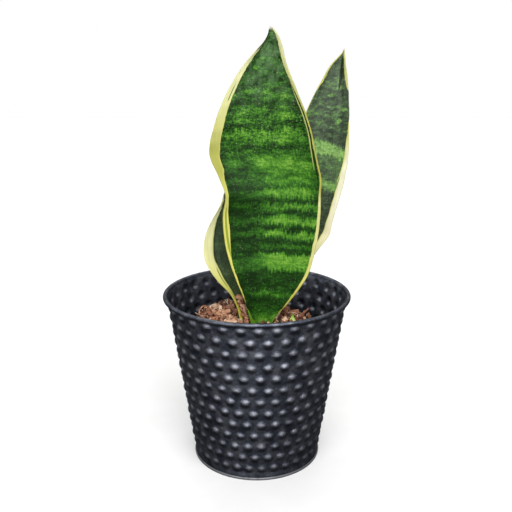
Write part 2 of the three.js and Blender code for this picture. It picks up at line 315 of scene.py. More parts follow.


# Height of the bumps at a place, 0 to 1, and its painted light: 1 on the upper half of a bump, -1 for painted
# shade beneath it.
def bumpAt(field, pitch, azimuth, height):
    radius = wallRadius(height)
    reach = bumps["footReach"] + (bumps["topReach"] - bumps["footReach"]) * height / potWall["topZ"]
    best, side = 0.0, 0.0
    for z, start, row in field:
        if abs(height - z) > reach * 1.2:  # too far away to count
            continue
        j = round((azimuth - start) / pitch)
        wide, tall, shiftAcross, shiftUp = row[j % len(row)]
        across = math.radians(azimuth - start - j * pitch) * radius - shiftAcross
        distance = math.hypot(across, height - z - shiftUp) / (reach * wide)
        if distance < 1:
            best = max(best, tall * (1 - distance * distance) ** bumps["power"])
        if distance < 1.5:
            upward = (height - z - shiftUp) / (reach * tall)
            upper, lower = [
                math.exp(-((upward - middle) / high) ** 2 - (across / reach / broad) ** 2)
                for middle, high, broad in (bumps["lit"], bumps["shaded"])]
            side = max(side, upper) if upper > lower else min(side, -lower) if side <= 0 else side
    return best, side


def makePotWall(material):
    rows = potWall["wallRows"] + potWall["beadRows"]
    piece = tubeBlank(potWall["around"], (2, rows // 2))
    field, pitch = bumpField()
    bumpLightValues = []
    for vertex in piece.data.vertices:
        azimuth = math.degrees(math.atan2(vertex.co.x, -vertex.co.y))
        turn = math.radians(azimuth)
        row = round(vertex.co.z * rows)
        if row <= potWall["wallRows"]:
            height = potWall["footZ"] + (potWall["topZ"] - potWall["footZ"]) * row / potWall["wallRows"]
            ring = between(*potWall["plainFoot"], height) * (1 - between(*potWall["plainRim"], height))
            fromSeam = abs(azimuth - lapSeam["azimuth"])
            seam = 1 - between(lapSeam["halfWidth"], lapSeam["halfWidth"] + lapSeam["edge"], fromSeam)
            bump, side = bumpAt(field, pitch, azimuth, height)
            bump *= (1 - between(*potWall["bumpsEnd"], height)) * (1 - seam * (1 - lapSeam["flattened"]))
            radius = wallRadius(height) - potWall["sheet"] / 2 + bumps["height"] * bump - bumps["sunk"] * ring
            place = Vector((math.sin(turn), -math.cos(turn), 0))
            wobble = potWall["wobble"] * noise.noise(place * 6 + Vector((0, 0, height / 25))) * ring
            radius += wobble - seam * lapSeam["step"] * (1 - between(*lapSeam["end"], height))
            # painted shadow under the rolled bead
            side -= between(*potWall["beadShadow"], height)
        else:
            along = (row - potWall["wallRows"]) / potWall["beadRows"]
            rolled = math.radians(180 - potWall["beadTurn"] * along)
            radius = potWall["beadMiddle"][0] + potWall["beadRadius"] * math.cos(rolled)
            height = potWall["beadMiddle"][1] + potWall["beadRadius"] * math.sin(rolled)
            side = 0.0
        bumpLightValues.append(side)
        vertex.co = Vector((radius * math.sin(turn), -radius * math.cos(turn), height)) * mm
    storeValues(piece, "bumpSide", bumpLightValues)
    faceOutwards(piece)
    solid = piece.modifiers.new("sheet", "SOLIDIFY")
    solid.thickness = potWall["sheet"] * mm
    solid.offset = 0
    bpy.ops.object.modifier_apply(modifier=solid.name)
    # on the inner face the painted highlight of a dent goes on its lower side, and behind
    # the mix the inner face is thinned
    points, half = piece.data.vertices, len(piece.data.vertices) // 2
    inner = [min(i, i + half, key=lambda k: points[k].co.xy.length) for i in range(half)]
    lights = piece.data.attributes["bumpSide"].data
    for i in inner:
        below = points[i].co.z < potWall["innerTop"] * mm
        lights[i].value = potWall["dentPaintedLight"] * lights[i].value if below else 0.0
    low, high = potWall["hidden"]
    hidden = [i for i in inner if low * mm < points[i].co.z < high * mm]
    unseen = piece.vertex_groups.new(name="behind the mix")
    unseen.add(hidden, 1.0, "REPLACE")
    thin = piece.modifiers.new("thin", "DECIMATE")
    thin.vertex_group = unseen.name
    thin.ratio = potWall["kept"]
    finishPiece(piece, "embossed_wall", material, "pot_wall")
    piece.vertex_groups.clear()
    print("embossed wall made,", len(piece.data.polygons), "faces")


# Black-lacquered steel sheet: nearly black with a cool cast, cloudy grey where the lacquer is thin,
# satin, with a painted highlight over the upper half of each bump and painted shade beneath it.
def blackLacqueredSteel():
    material, tree = startMaterial("black_lacquered_steel")
    place = (addNode(tree, "TexCoord", {}), "Object")
    height = (addNode(tree, "SeparateXYZ", {0: place}), "Z")
    cloud, speck = [
        addNode(tree, "TexNoise", {
            "Scale": grain(size), "Detail": detail, "Roughness": rough, "Vector": place})
        for size, detail, rough in ((10, 8, 0.68), (1.1, 4, 0.8))]
    colour = addNode(tree, "ValToRGB", {
        0: cloud, "stops": [(0.32, "#333843"), (0.44, "#4a4f5b"), (0.55, "#646872"), (0.70, "#84878f")]})
    side = addNode(tree, "Attribute", {"attribute_name": "bumpSide"})
    speckledPaintedLight = addNode(tree, "Math MULTIPLY", {0: side, 1: speck})
    low, high = 5 * mm, 80 * mm  # painted shade towards the foot, and less painted highlight there
    paintedFootShade = addNode(tree, "MapRange", {0: height, "From": (low, high), "To": (0.74, 1.0)})
    paintedHighlightMost = addNode(tree, "MapRange", {0: height, "From": (low, high), "To": (0.3, 0.85)})
    pitted = addNode(tree, "MapRange", {0: speck, "From": (0.3, 0.7), "To": (0.65, 1.42)})
    lightness = addNode(tree, "Math MULTIPLY", {0: paintedFootShade, 1: pitted})
    colour = addNode(tree, "HueSaturation", {"Value": lightness, "Color": colour})
    # painted highlight over the upper side of the bumps, less of it towards the foot
    paintedHighlight = addNode(tree, "MapRange", {0: speckledPaintedLight, "From": (0.12, 0.46), "To": (0.0, paintedHighlightMost)})
    # painted shade beneath the bumps and under the bead
    paintedShade = addNode(tree, "MapRange", {0: speckledPaintedLight, "From": (-0.04, -0.26), "To": (0.0, 0.55)})
    for share, over in ((paintedHighlight, "#babdc9"), (paintedShade, "#202228")):
        colour = addNode(tree, "Mix RGBA", {0: share, 6: colour, 7: over})
    gloss = addNode(tree, "MapRange", {0: speck, "From": (0.3, 0.7), "To": (0.3, 0.44)})
    bead = addNode(tree, "MapRange", {0: height, "From": (130.3 * mm, 131.3 * mm), "To": (1.0, 0.22)})
    rough = addNode(tree, "Math MINIMUM", {0: gloss, 1: bead})  # the rolled rim is smoother
    dents = addNode(tree, "Math MULTIPLY_ADD", {0: cloud, 1: 3.0, 2: speck})
    relief = addNode(tree, "Bump", {"Strength": 0.6, "Distance": 0.3 * mm, "Height": dents})
    return finishMaterial(material, {
        "Metallic": 0.85, "Base Color": colour, "Roughness": rough, "Normal": relief})


makePotWall(blackLacqueredSteel())

potBase = {  # a plate with a turned-up flange, seamed round the foot of the wall
    "around": 240,
    "profile": [
        (0.01, 2.1), (20, 2.1), (44, 2.1), (46.9, 2.1), (47.9, 1.7), (48.1, 0.3), (48.4, 0.0), (50.1, 0.0),
        (50.4, 0.12), (50.5, 0.45), (50.5, 1.5), (50.4, 1.85), (50.15, 2.0), (49.85, 1.9), (49.7, 0.75),
        (49.6, 0.5), (48.9, 0.5), (48.55, 0.7), (48.5, 2.1), (48.2, 2.55), (47.6, 2.6), (44, 2.6), (20, 2.6),
        (0.01, 2.6),
    ],
}


# The same lacquered steel, rubbed to bare bright metal along the seam that slides on shelves.
def rubbedSteel():
    material, tree = startMaterial("rubbed_steel_seam")
    place = (addNode(tree, "TexCoord", {}), "Object")
    cloud = addNode(tree, "TexNoise", {"Scale": grain(7), "Detail": 4, "Roughness": 0.65, "Vector": place})
    height = (addNode(tree, "SeparateXYZ", {0: place}), "Z")
    seam = addNode(tree, "MapRange", {0: height, "From": (0.35 * mm, 0.75 * mm)})
    share = addNode(tree, "Math MULTIPLY", {0: cloud, 1: seam})
    bare = addNode(tree, "MapRange", {0: share, "From": (0.2, 0.5)})
    colour = addNode(tree, "Mix RGBA", {0: bare, 6: "#34363d", 7: "#94969b"})
    metal = addNode(tree, "MapRange", {0: bare, "To": (0.3, 0.75)})
    return finishMaterial(material, {"Roughness": 0.38, "Base Color": colour, "Metallic": metal})


finishPiece(turnProfile(potBase["profile"], potBase["around"]), "seamed_base", rubbedSteel(),
            "pot_base", smooth=35)
print("base made")


# Galvanised wire inside the rolled rim: dull zinc, faintly spangled.
def galvanisedWire():
    material, tree = startMaterial("galvanised_wire")
    place = (addNode(tree, "TexCoord", {}), "Object")
    spangle = addNode(tree, "TexVoronoi", {"Scale": grain(2), "Vector": place})
    colour = addNode(tree, "ValToRGB", {0: spangle, "stops": [(0.1, "#8d9093"), (0.7, "#b3b6b8")]})
    return finishMaterial(material, {"Metallic": 1.0, "Roughness": 0.45, "Base Color": colour})


def giveMaterial(material, *nodes):  # for CAD nodes whose shape stays
    for node in nodes:
        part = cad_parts[node]
        part.data.materials.clear()
        part.data.materials.append(material)


giveMaterial(galvanisedWire(), "rim_wire")

nurseryPot = {
    "across": -3.0,
    "footZ": 2.9,
    "rimZ": 104.0,
    "footRadius": 38.0,
    "topRadius": 49.4,
    "wall": 1.2,
    "lip": 2.0,
    "lipHeight": 5.0,
    "rings": [20, 50, 80],  # heights of the rings between foot and lip
    "holes": 6,
    "holeRadius": 4.0,
    "holeRing": 25.84,
    "around": 96,
}


def makeNurseryPot(material):
    foot, rim, wall = nurseryPot["footZ"], nurseryPot["rimZ"], nurseryPot["wall"]
    bottom, top, rings = nurseryPot["footRadius"], nurseryPot["topRadius"], nurseryPot["rings"]
    lipZ, lipOut = rim - nurseryPot["lipHeight"], top + nurseryPot["lip"]

    def side(height):
        return bottom + (top - bottom) * (height - foot) / (rim - foot)

    # up the outside, over the lip with its small rounded edges, and down the inside
    profile = [(0.01, foot), (bottom - 3, foot), (bottom - 0.8, foot + 0.2), (side(foot + 1), foot + 1)]
    profile += [(side(z), z) for z in rings + [lipZ]]
    profile += [(lipOut - 0.3, lipZ), (lipOut, lipZ + 0.3), (lipOut, rim - 0.4), (lipOut - 0.4, rim)]
    profile += [(top - wall + 0.3, rim), (top - wall, rim - 0.3)]
    profile += [(side(z) - wall, z) for z in [lipZ] + rings[::-1] + [foot + wall + 1]]
    profile += [(bottom - wall - 0.8, foot + wall), (0.01, foot + wall)]
    piece = turnProfile(profile, nurseryPot["around"], nurseryPot["across"])
    cutters = []
    for i in range(nurseryPot["holes"]):
        turn = 2 * math.pi * i / nurseryPot["holes"]
        bpy.ops.mesh.primitive_cylinder_add(
            vertices=24, radius=nurseryPot["holeRadius"] * mm, depth=6 * mm,
            location=((nurseryPot["across"] + nurseryPot["holeRing"] * math.cos(turn)) * mm,
                      nurseryPot["holeRing"] * math.sin(turn) * mm, foot * mm))
        cutters.append(bpy.context.object)
        cut = piece.modifiers.new("drain hole", "BOOLEAN")
        cut.object = cutters[-1]
        cut.operation = "DIFFERENCE"
        cut.solver = "EXACT"
    finishPiece(piece, "moulded_nursery_pot", material, "nursery_pot", smooth=35)
    for cutter in cutters:
        bpy.data.objects.remove(cutter)
    print("nursery pot made")


# Thin injection-moulded polypropylene, black with recycled content: dull, faintly streaked.
def mouldedPolypropylene():
    material, tree = startMaterial("moulded_polypropylene")
    place = (addNode(tree, "TexCoord", {}), "Object")
    flow = addNode(tree, "Mapping", {"Scale": (grain(6), grain(6), grain(30)), 0: place})
    streak = addNode(tree, "TexNoise", {"Scale": 1.0, "Detail": 3, "Vector": flow})
    colour = addNode(tree, "ValToRGB", {0: streak, "stops": [(0.35, "#151516"), (0.65, "#232324")]})
    rough = addNode(tree, "MapRange", {0: streak, "From": (0.3, 0.7), "To": (0.5, 0.62)})
    return finishMaterial(material, {"IOR": 1.49, "Base Color": colour, "Roughness": rough})


makeNurseryPot(mouldedPolypropylene())

# A section of a blade is its height, its left margin across and in depth, its right margin
# likewise, and its wrap. An edge is height and width of the yellow. A streak is the margin it
# runs along, its colour, and [height, distance from that margin, half width].
frontLeaf = {
    "sections": [
        [96.3, -1, -8, 8.5, -8, 60], [108, -3, -12, 9, -12, 60], [118, -5, -15, 14.3, -14, 55],
        [131, -8.6, -16, 24.2, -17, 46], [150, -15.9, -17, 36.1, -20, 36], [175, -23, -17, 42.9, -22, 30],
        [198, -24.5, -18, 45.5, -23, 28], [213, -22.5, -20, 45.5, -23, 30], [225, -27, -17, 45.5, -23, 28],
        [240, -33.5, -15, 42, -23, 27], [262, -30, -15, 37, -21, 27], [285, -20.5, -13, 28, -18, 30],
        [305, -7.7, -11, 20, -14, 38], [314.5, 0.9, -10, 17.4, -12, 45], [319, 5.2, -9.5, 15.9, -11.2, 49],
        [323.4, 7.8, -9, 14.0, -10, 53], [329, 9.2, -8, 10.2, -8, 60],
    ],
    "foot": 5.5,  # thickness in mm, there and further up
    "blade": 3.4,
    "columns": 84,
    "cuts": (16, 16),
    "leftEdge": [
        [96, -0.6], [127, -0.5], [133, 0.4], [140, 0.9], [148, 1.3], [160, 1.6], [166, 2.3], [172, 3.6],
        [179, 4.5], [190, 5.0], [198, 4.0], [209, 2.3], [216, 2.4], [224, 3.4], [231, 6.4], [245, 7.8],
        [264, 6.7], [277, 5.6], [291, 4.7], [306, 3.0], [314, 1.6], [320, 0.3], [329, 0.1],
    ],
    "rightEdge": [
        [96, 0.1], [120, 0.2], [126, 0.6], [130, 1.4], [137, 2.0], [145, 2.3], [160, 2.3], [171, 2.3],
        [176, 2.5], [187, 2.1], [197, 2.0], [207, 1.8], [214, 1.2], [226, 1.1], [232, 0.9], [241, 0.8],
        [260, 0.8], [270, 0.9], [280, 1.2], [290, 2.2], [307, 2.6], [315, 2.6], [322, 1.8], [329, 0.4],
    ],
    "streaks": [
        ("left", "#639526", [[100, 0, 4.6], [113.5, 0, 4.2], [116, 0, 2.2], [122, 0, 1.0], [127, 0, -0.4]]),
        ("left", "#8e9a33", [[163, 1.9, -0.4], [168, 2.3, 0.5], [175, 2.4, 0.9], [190, 2.3, 0.8],
                             [202, 2.0, 0.5], [207, 1.8, -0.4]]),
        ("left", "#3f6a28", [[277, 3.7, -0.3], [280, 3.4, 0.35], [288, 2.9, 0.3], [294, 2.6, -0.3]]),
        ("right", "#1a2e0c", [[216, 2.6, -0.3], [226, 2.6, 0.5], [240, 2.0, 0.5], [262, 1.6, 0.5],
                              [280, 1.7, 0.4], [292, 2.4, -0.3]]),
        ("right", "#b9bc76", [[229, 4.4, -0.3], [232, 4.1, 0.15], [241, 3.3, 0.35], [250, 2.9, 0.42],
                              [262, 2.6, 0.42], [271, 2.6, 0.42], [280, 2.7, 0.4], [292, 2.6, 0.0]]),
        # painted shade inside the inrolled tip
        ("left", "#24361c", [[309, 0.6, -0.3], [314, 0.5, 0.4], [322, 0.3, 0.6], [328, 0.2, 0.4]]),
        # the next two: partly the leaf's own dark green, partly painted shade beside the long fold
        ("left", "#1b3312", [[140, 3.2, -0.3], [160, 4.4, 0.15], [190, 7.2, 0.25], [206, 5.6, 0.2],
                             [213, 5.0, -0.3]]),
        ("left", "#1b3312", [[150, 6.0, -0.3], [170, 7.4, 0.1], [190, 9.4, 0.2], [202, 8.4, 0.1],
                             [210, 8.0, -0.3]]),
    ],
    "foldFrom": "left",  # a long fold: height, distance from that margin, depth
    "fold": [[128, 5, 0.0], [150, 6.5, 0.3], [175, 7, 0.5], [205, 7, 0.5], [222, 7.5, 0.2], [235, 8, 0.0]],
}
rightLeaf = {
    "sections": [
        [96.3, 7, 2.5, 16, 2.5, 60], [104, 6, 7, 16, 6, 60], [112, 5, 9, 17, 8, 58], [130, 6, 13, 24, 9, 44],
        [150, 11, 16, 38, 11, 28], [163, 15.6, 17.3, 47, 11.7, 24], [170, 18, 18, 52.4, 12, 22],
        [176, 19.7, 18.7, 56.2, 12.3, 21.5], [183, 21.4, 19.4, 57.8, 12.7, 21], [190, 23, 20, 59.4, 13, 20],
        [212, 27, 22, 65.5, 14, 21], [232, 30, 24, 69, 15, 24], [252, 33.5, 25, 69.5, 17, 30],
        [272, 39, 25, 69, 19, 34], [290, 48, 25, 68, 22, 40], [304, 56, 25.5, 66, 24, 48],
        [313, 64.3, 26, 65.3, 26, 60], [315.4, 65.1, 26.1, 65.6, 26, 60],
    ],
    "foot": 5.0,
    "blade": 3.0,
    "columns": 64,
    "cuts": (14, 14),
    "leftEdge": [
        [96, 0.3], [140, 1.2], [180, 1.4], [240, 0.6], [265, 0.4], [275, 0.1], [287, 0.2], [291, 1.2],
        [296, 1.5], [305, 0.9], [313, 0.2],
    ],
    "rightEdge": [
        [96, 0.3], [112, 1.0], [130, 3.2], [150, 5.4], [163, 5.8], [168, 6.0], [175, 6.5], [181, 5.4],
        [190, 4.8], [195, 4.7], [206, 5.0], [217, 5.4], [221, 5.2], [228, 4.3], [237, 3.2], [241, 3.0],
        [248, 2.3], [254, 0.9], [260, 0.5], [266, -0.3], [284, -0.3], [289, 1.2], [293, 1.9], [298, 2.0],
        [305, 1.2], [313, 0.4],
    ],
    "streaks": [
        # painted shade in the valley of the fold by the tip
        ("right", "#26331f", [[283, 8.6, -0.3], [288, 7.4, 0.7], [294, 5.8, 1.1], [300, 4.3, 1.2],
                              [308, 2.1, 0.8], [311.5, 1, -0.3]]),
        ("right", "#66833f", [[208, 5.4, -0.3], [212, 5.2, 0.4], [219, 4.6, 0.4], [223, 4.2, -0.3]]),
    ],
    "foldFrom": "right",
    "fold": [[255, 8, 0.0], [275, 7, 0.8], [290, 6.0, 1.2], [304, 4.2, 1.0], [313, 1, 0.0]],
}
leftLeaf = {
    "sections": [
        [96.3, -11, -7, -7, 3, 60], [112, -10.2, -8.5, -4, 5, 60], [122, -13.2, -5.5, -3, 8, 54],
        [132, -20, -1, -3, 12, 44], [142, -31, 4, -3, 14, 34], [155, -39.8, 10.5, -3, 16.5, 27],
        [170, -40.9, 15, -4, 19, 22], [185, -35.7, 18.5, -8, 21.5, 20], [194.5, -30.1, 20.5, -14, 22.5, 24],
        [202, -26.4, 21.5, -19.5, 22.7, 36], [208, -24.9, 22, -24.2, 22, 60],
    ],
    "foot": 5.0,
    "blade": 2.8,
    "columns": 64,
    "cuts": (12, 12),
    "leftEdge": [
        [96, 0.8], [105, 1.2], [112, 1.6], [118, 2.1], [125, 2.8], [132, 4.4], [140, 6.6], [147, 8.4],
        [154, 8.2], [161, 8.2], [168, 7.6], [175, 6.6], [181, 5.3], [188, 3.6], [191, 3.1], [195, 2.4],
        [198, 1.7], [203, 0.7], [208, 0.2],
    ],
    "rightEdge": [[96, 0.5], [112, 1.2], [140, 2.2], [180, 2.4], [200, 1.4], [208, 0.3]],
    "streaks": [
        ("left", "#6f8a3c", [[134, 3.4, -0.3], [138, 4.2, 0.35], [147, 6.2, 0.45], [152, 7.0, -0.3]]),
    ],
    "foldFrom": "left",
    "fold": [[120, 6, 0.0], [150, 9.5, 0.6], [175, 8.5, 0.5], [190, 6, 0.0]],
}
blades = {  # what the three have in common, in mm
    "edge": 1.2,  # thickness at the margins
    "swelling": 8,  # how fast the thick foot thins
    "thinnest": (0.35, 0.2),  # a narrow tip is that share of its width thick, and so much more
    "rounding": (0.55, 0.3),  # of the margins: share of their thickness, at most that share of the width
    "waveSize": (1.3, 17, 30),
    "marginWaves": (0.55, 1.7),  # height and fineness
    "bodyWaves": (0.25, 3.1),
    "foldWidth": 1.9,
    "wavesFrom": (118, 135),  # heights over which waves and fold begin
    "narrow": 9.0,  # they fade where the blade is narrower than this
    "noStreak": -0.6,  # half width of a streak beyond its ends
}


def bladeSection(leaf, height):  # centre of the blade's arc, half its chord, its wrap, its directions
    leftX, leftY, rightX, rightY, wrap = curveAt(leaf["sections"], height)
    left, right = Vector((leftX, leftY, height)), Vector((rightX, rightY, height))
    across = (right - left).normalized()
    back = Vector((-across.y, across.x, 0))
    half, wrap = (right - left).length / 2, math.radians(wrap)
    return (left + right) / 2 - back * (half / math.tan(wrap)), half, wrap, across, back


# One blade: a flattened tube from the foot to the tip, hollow towards the front, with the
# places on it stored in mm for the colours to follow.
def makeLeaf(leaf):
    columns, rows = leaf["columns"], leaf["cuts"][0] * leaf["cuts"][1]
    foot, tip = leaf["sections"][0][0], leaf["sections"][-1][0]
    piece = tubeBlank(2 * columns, leaf["cuts"], "TRIFAN")
    stored, sections = {}, {}
    for vertex in piece.data.vertices:
        share = round(vertex.co.z * rows) / rows
        height = foot + (tip - foot) * share
        if share not in sections:
            sections[share] = bladeSection(leaf, height)
        centre, half, wrap, across, back = sections[share]
        column = round(math.atan2(vertex.co.y, vertex.co.x) / math.pi * columns) % (2 * columns)
        pole = math.hypot(vertex.co.x, vertex.co.y) < 0.5
        front = column <= columns
        s = 0 if pole else -math.cos(math.pi * (column if front else 2 * columns - column) / columns)
        bend = half / math.sin(wrap)
        width = 2 * bend * wrap
        fromSide = {"left": (1 + s) * width / 2, "right": (1 - s) * width / 2}
        fromEdge = min(fromSide.values())
        middle = (leaf["foot"] - leaf["blade"]) * math.exp(-blades["swelling"] * share)
        middle += leaf["blade"] + (blades["edge"] - leaf["blade"]) * share ** 2
        thickness = blades["edge"] + (middle - blades["edge"]) * (1 - s * s)
        thickness = min(thickness, blades["thinnest"][0] * width + blades["thinnest"][1])
        rounding = min(blades["edge"] * blades["rounding"][0], blades["rounding"][1] * width)
        inEdge = 1 - min(1.0, fromEdge / rounding)
        halfThick = 0 if pole else thickness / 2 * math.sqrt(max(0.0, 1 - inEdge * inEdge))
        # small waves, mostly along the margins, and the long fold beside one of them
        wide, tall, apart = blades["waveSize"]
        place = Vector((s * wide, height / tall, half / apart))
        ripple = 0.0
        for (high, fineness), where in ((blades["marginWaves"], abs(s) ** 3), (blades["bodyWaves"], 1.0)):
            ripple += high * where * noise.noise(place * fineness)
        foldAt, foldDeep = curveAt(leaf["fold"], height)
        fromFold = fromSide[leaf["foldFrom"]] - foldAt
        ripple += foldDeep * math.exp(-(fromFold / blades["foldWidth"]) ** 2)
        ripple *= between(*blades["wavesFrom"], height) * between(0.0, blades["narrow"], width)
        offset = thickness / 2 + ripple + (-halfThick if front else halfThick)
        outwards = across * math.sin(s * wrap) + back * math.cos(s * wrap)
        vertex.co = (centre + outwards * (bend + offset)) * mm
        values = {
            "heightMm": height, "acrossMm": s * width / 2, "edgeMm": fromEdge,
            "insideGreen": min(fromSide[side] - lineAt(leaf[side + "Edge"], height) for side in fromSide),
        }
        for k, (margin, _, line) in enumerate(leaf["streaks"]):
            reached = line[0][0] <= height <= line[-1][0]
            values["streakLine%d" % k] = fromSide[margin] - lineAt(line, height)
            values["streakHalf%d" % k] = lineAt(line, height, 2) if reached else blades["noStreak"]
        for name, value in values.items():
            stored.setdefault(name, []).append(value)
    for name, values in stored.items():
        storeValues(piece, name, values)
    faceOutwards(piece)
    return piece


leafGrain = {  # width and length of the marks in mm, detail, roughness
    "feather": (1.3, 11, 2, 0.5),
    "wave": (13, 16, 2, 0.5),
    "mottle": (2.2, 1.5, 4, 0.62),
    "blotch": (10, 4.3, 3, 0.5),
    "fleck": (0.8, 0.9, 2, 0.6),
    "bloom": (6, 9, 4, 0.6),
    "lines": (0.55, 45, 2, 0.5),
    "threads": (0.4, 26, 3, 0.6),
    "ragged": (1.3, 9, 3, 0.5),
}
leafMarks = {
    "flecks": (0.5, 0.72),  # from where to where in its noise a mark begins and is whole
    "patches": (0.36, 0.64),
    "specks": (0.24, 0.1),
    "speckCell": 1.9,  # mm
    "speckColour": "#a9c488",
    "lineShades": (0.83, 1.17),  # least and most light, of the green and of the yellow
    "threadShades": (0.84, 1.08),
    "borderMm": (-1.5, -0.2),  # the yellow's seam to the green, and the leaf's browner rim
    "borderColour": "#d8d270",
    "rimMm": (0.55, 0.1),
    "rimShare": 0.45,
    "rimColour": "#9b983e",
    "raggedMm": 1.3,  # how far the seam wanders
    "seamMm": (0.87, 0.43),
    "streakMm": (0.2, -0.2),
    "driedMm": (2.2, 0.7),  # below the tip
    "driedColour": "#c3beaa",
}


# Waxy leaf skin of a variegated snake plant. Cross bands with feathered edges and fine mottling
# show through a thin bloom, the margins are cream to yellow, and the wax gives a soft satin sheen.
def leafSkin(name, leaf, look):
    material, tree = startMaterial(name)
    height, across, inside, edge = [
        addNode(tree, "Attribute", {"attribute_name": stored})
        for stored in ("heightMm", "acrossMm", "insideGreen", "edgeMm")]
    surface = addNode(tree, "CombineXYZ", {0: across, 1: height, 2: look["offset"]})
    grains = {}
    for part, (wide, tall, detail, rough) in dict(leafGrain, **look["grain"]).items():
        stretched = addNode(tree, "VectorMath MULTIPLY", {0: surface, 1: (1 / wide, 1 / tall, 1)})
        grains[part] = addNode(tree, "TexNoise", {
            "Scale": 1.0, "Detail": detail, "Roughness": rough, "Vector": stretched})
    levels = {  # low on the blade and high on it
        part: addNode(tree, "MapRange", {0: height, "From": look["upperPart"], "To": look[part]})
        for part in ("dullAndShade", "mottle", "blotch", "fleck", "specks")}

    # bands: the height, feathered by fine lengthwise noise, wavy by coarse noise, and sloping
    moved, shift = height, (look["feather"] + look["wave"]) / 2
    for part, by in ((grains["feather"], "feather"), (grains["wave"], "wave"), (across, "slope")):
        moved = addNode(tree, "Math MULTIPLY_ADD", {0: part, 1: look[by], 2: moved})
    low, high = look["bands"][0][0], look["bands"][-1][0]
    scaled = addNode(tree, "MapRange", {0: moved, "From": (low + shift, high + shift)})
    tone = addNode(tree, "ValToRGB", {
        0: scaled, "stops": [((z - low) / (high - low), light) for z, light in look["bands"]]})
    if look["crisp"]:
        tone = addNode(tree, "MapRange", {
            "interpolation_type": "SMOOTHERSTEP", 0: tone, "From": look["crisp"], "To": look["crisp"]})
    # a darker left side: partly the leaf's own colour, partly painted shade
    sideways = addNode(tree, "MapRange", {
        "interpolation_type": "SMOOTHSTEP", 0: across, "From": look["dullAndShadeSide"], "To": (levels["dullAndShade"], 1.0)})
    low, high, darkest, reach = look["darkEdge"]
    darkened = addNode(tree, "MapRange", {0: height, "From": (low, high), "To": (1.0, darkest)})
    nearEdge = addNode(tree, "MapRange", {0: inside, "From": (0.5, reach), "To": (darkened, 1.0)})
    for factor in (sideways, nearEdge):
        tone = addNode(tree, "Math MULTIPLY", {0: tone, 1: factor})
    for part in ("mottle", "blotch"):
        centred = addNode(tree, "Math SUBTRACT", {0: grains[part], 1: 0.5})
        tone = addNode(tree, "Math MULTIPLY_ADD", {0: centred, 1: levels[part], 2: tone})
    flecks = addNode(tree, "MapRange", {
        0: grains["fleck"], "From": leafMarks["flecks"], "To": (0.0, levels["fleck"])})
    tone = addNode(tree, "Math ADD", {0: tone, 1: flecks})
    skin = addNode(tree, "ValToRGB", {0: tone, "stops": look["greens"]})

    # bloom towards the tip, pale specks, and what shades the green and the yellow lengthwise
    low, high, most = look["bloom"]
    bloom = addNode(tree, "MapRange", {0: height, "From": (low, high), "To": (0.0, most)})
    cell = 1 / leafMarks["speckCell"]
    cells = addNode(tree, "VectorMath MULTIPLY", {0: surface, 1: (cell, cell, 1)})
    spots = addNode(tree, "TexVoronoi", {"Scale": 1.0, "Vector": cells})
    specks = addNode(tree, "MapRange", {0: spots, "From": leafMarks["specks"], "To": (0.0, levels["specks"])})
    patches = addNode(tree, "MapRange", {0: grains["bloom"], "From": leafMarks["patches"]})
    bloom, specks = [
        addNode(tree, "Math MULTIPLY", {0: share, 1: patches}) for share in (bloom, specks)]
    lineShade, threadShade = [
        addNode(tree, "MapRange", {0: grains[part], "From": (0.3, 0.7), "To": leafMarks[shades]})
        for part, shades in (("lines", "lineShades"), ("threads", "threadShades"))]
    skin = addNode(tree, "Mix RGBA", {0: bloom, 6: skin, 7: look["bloomColour"]})
    skin = addNode(tree, "HueSaturation", {"Value": lineShade, "Color": skin})

    # yellow margins, paler or more golden by height, with a seam to the green and a browner rim
    foot, tip = leaf["sections"][0][0], leaf["sections"][-1][0]
    along = addNode(tree, "MapRange", {0: height, "From": (foot, tip)})
    leftYellow, rightYellow = [
        addNode(tree, "ValToRGB", {
            0: along, "stops": [((z - foot) / (tip - foot), colour) for z, colour in look[side]]})
        for side in ("leftYellow", "rightYellow")]
    isRight = addNode(tree, "Math GREATER_THAN", {0: across, 1: 0.0})
    yellow = addNode(tree, "Mix RGBA", {0: isRight, 6: leftYellow, 7: rightYellow})
    yellow = addNode(tree, "HueSaturation", {"Value": threadShade, "Color": yellow})
    for place, part, most in ((inside, "border", look["border"]), (edge, "rim", leafMarks["rimShare"])):
        share = addNode(tree, "MapRange", {0: place, "From": leafMarks[part + "Mm"], "To": (0.0, most)})
        over = leafMarks[part + "Colour"]
        yellow = addNode(tree, "Mix RGBA", {0: share, 6: yellow, 7: over})
    ragged = addNode(tree, "Math MULTIPLY_ADD", {0: grains["ragged"], 1: leafMarks["raggedMm"], 2: inside})
    yellowShare = addNode(tree, "MapRange", {0: ragged, "From": leafMarks["seamMm"]})
    layers = [(specks, leafMarks["speckColour"]), (yellowShare, yellow)]
    for k, (_, colour, _) in enumerate(leaf["streaks"]):
        line, halfWidth = [
            addNode(tree, "Attribute", {"attribute_name": stored % k})
            for stored in ("streakLine%d", "streakHalf%d")]
        away = addNode(tree, "Math ABSOLUTE", {0: line})
        beyond = addNode(tree, "Math SUBTRACT", {0: away, 1: halfWidth})
        layers.append((addNode(tree, "MapRange", {0: beyond, "From": leafMarks["streakMm"]}), colour))
    driedFrom = [tip - below for below in leafMarks["driedMm"]]
    layers.append((addNode(tree, "MapRange", {0: height, "From": driedFrom}), leafMarks["driedColour"]))
    for share, over in layers:
        skin = addNode(tree, "Mix RGBA", {0: share, 6: skin, 7: over})
    relief = addNode(tree, "Math MULTIPLY_ADD", {0: grains["lines"], 1: 0.5, 2: grains["bloom"]})
    bump = addNode(tree, "Bump", {"Strength": 0.35, "Distance": 0.25 * mm, "Height": relief})
    return finishMaterial(material, {
        "Roughness": look["roughness"], "IOR": 1.45, "Specular IOR Level": look["wax"],
        "Base Color": skin, "Normal": bump})


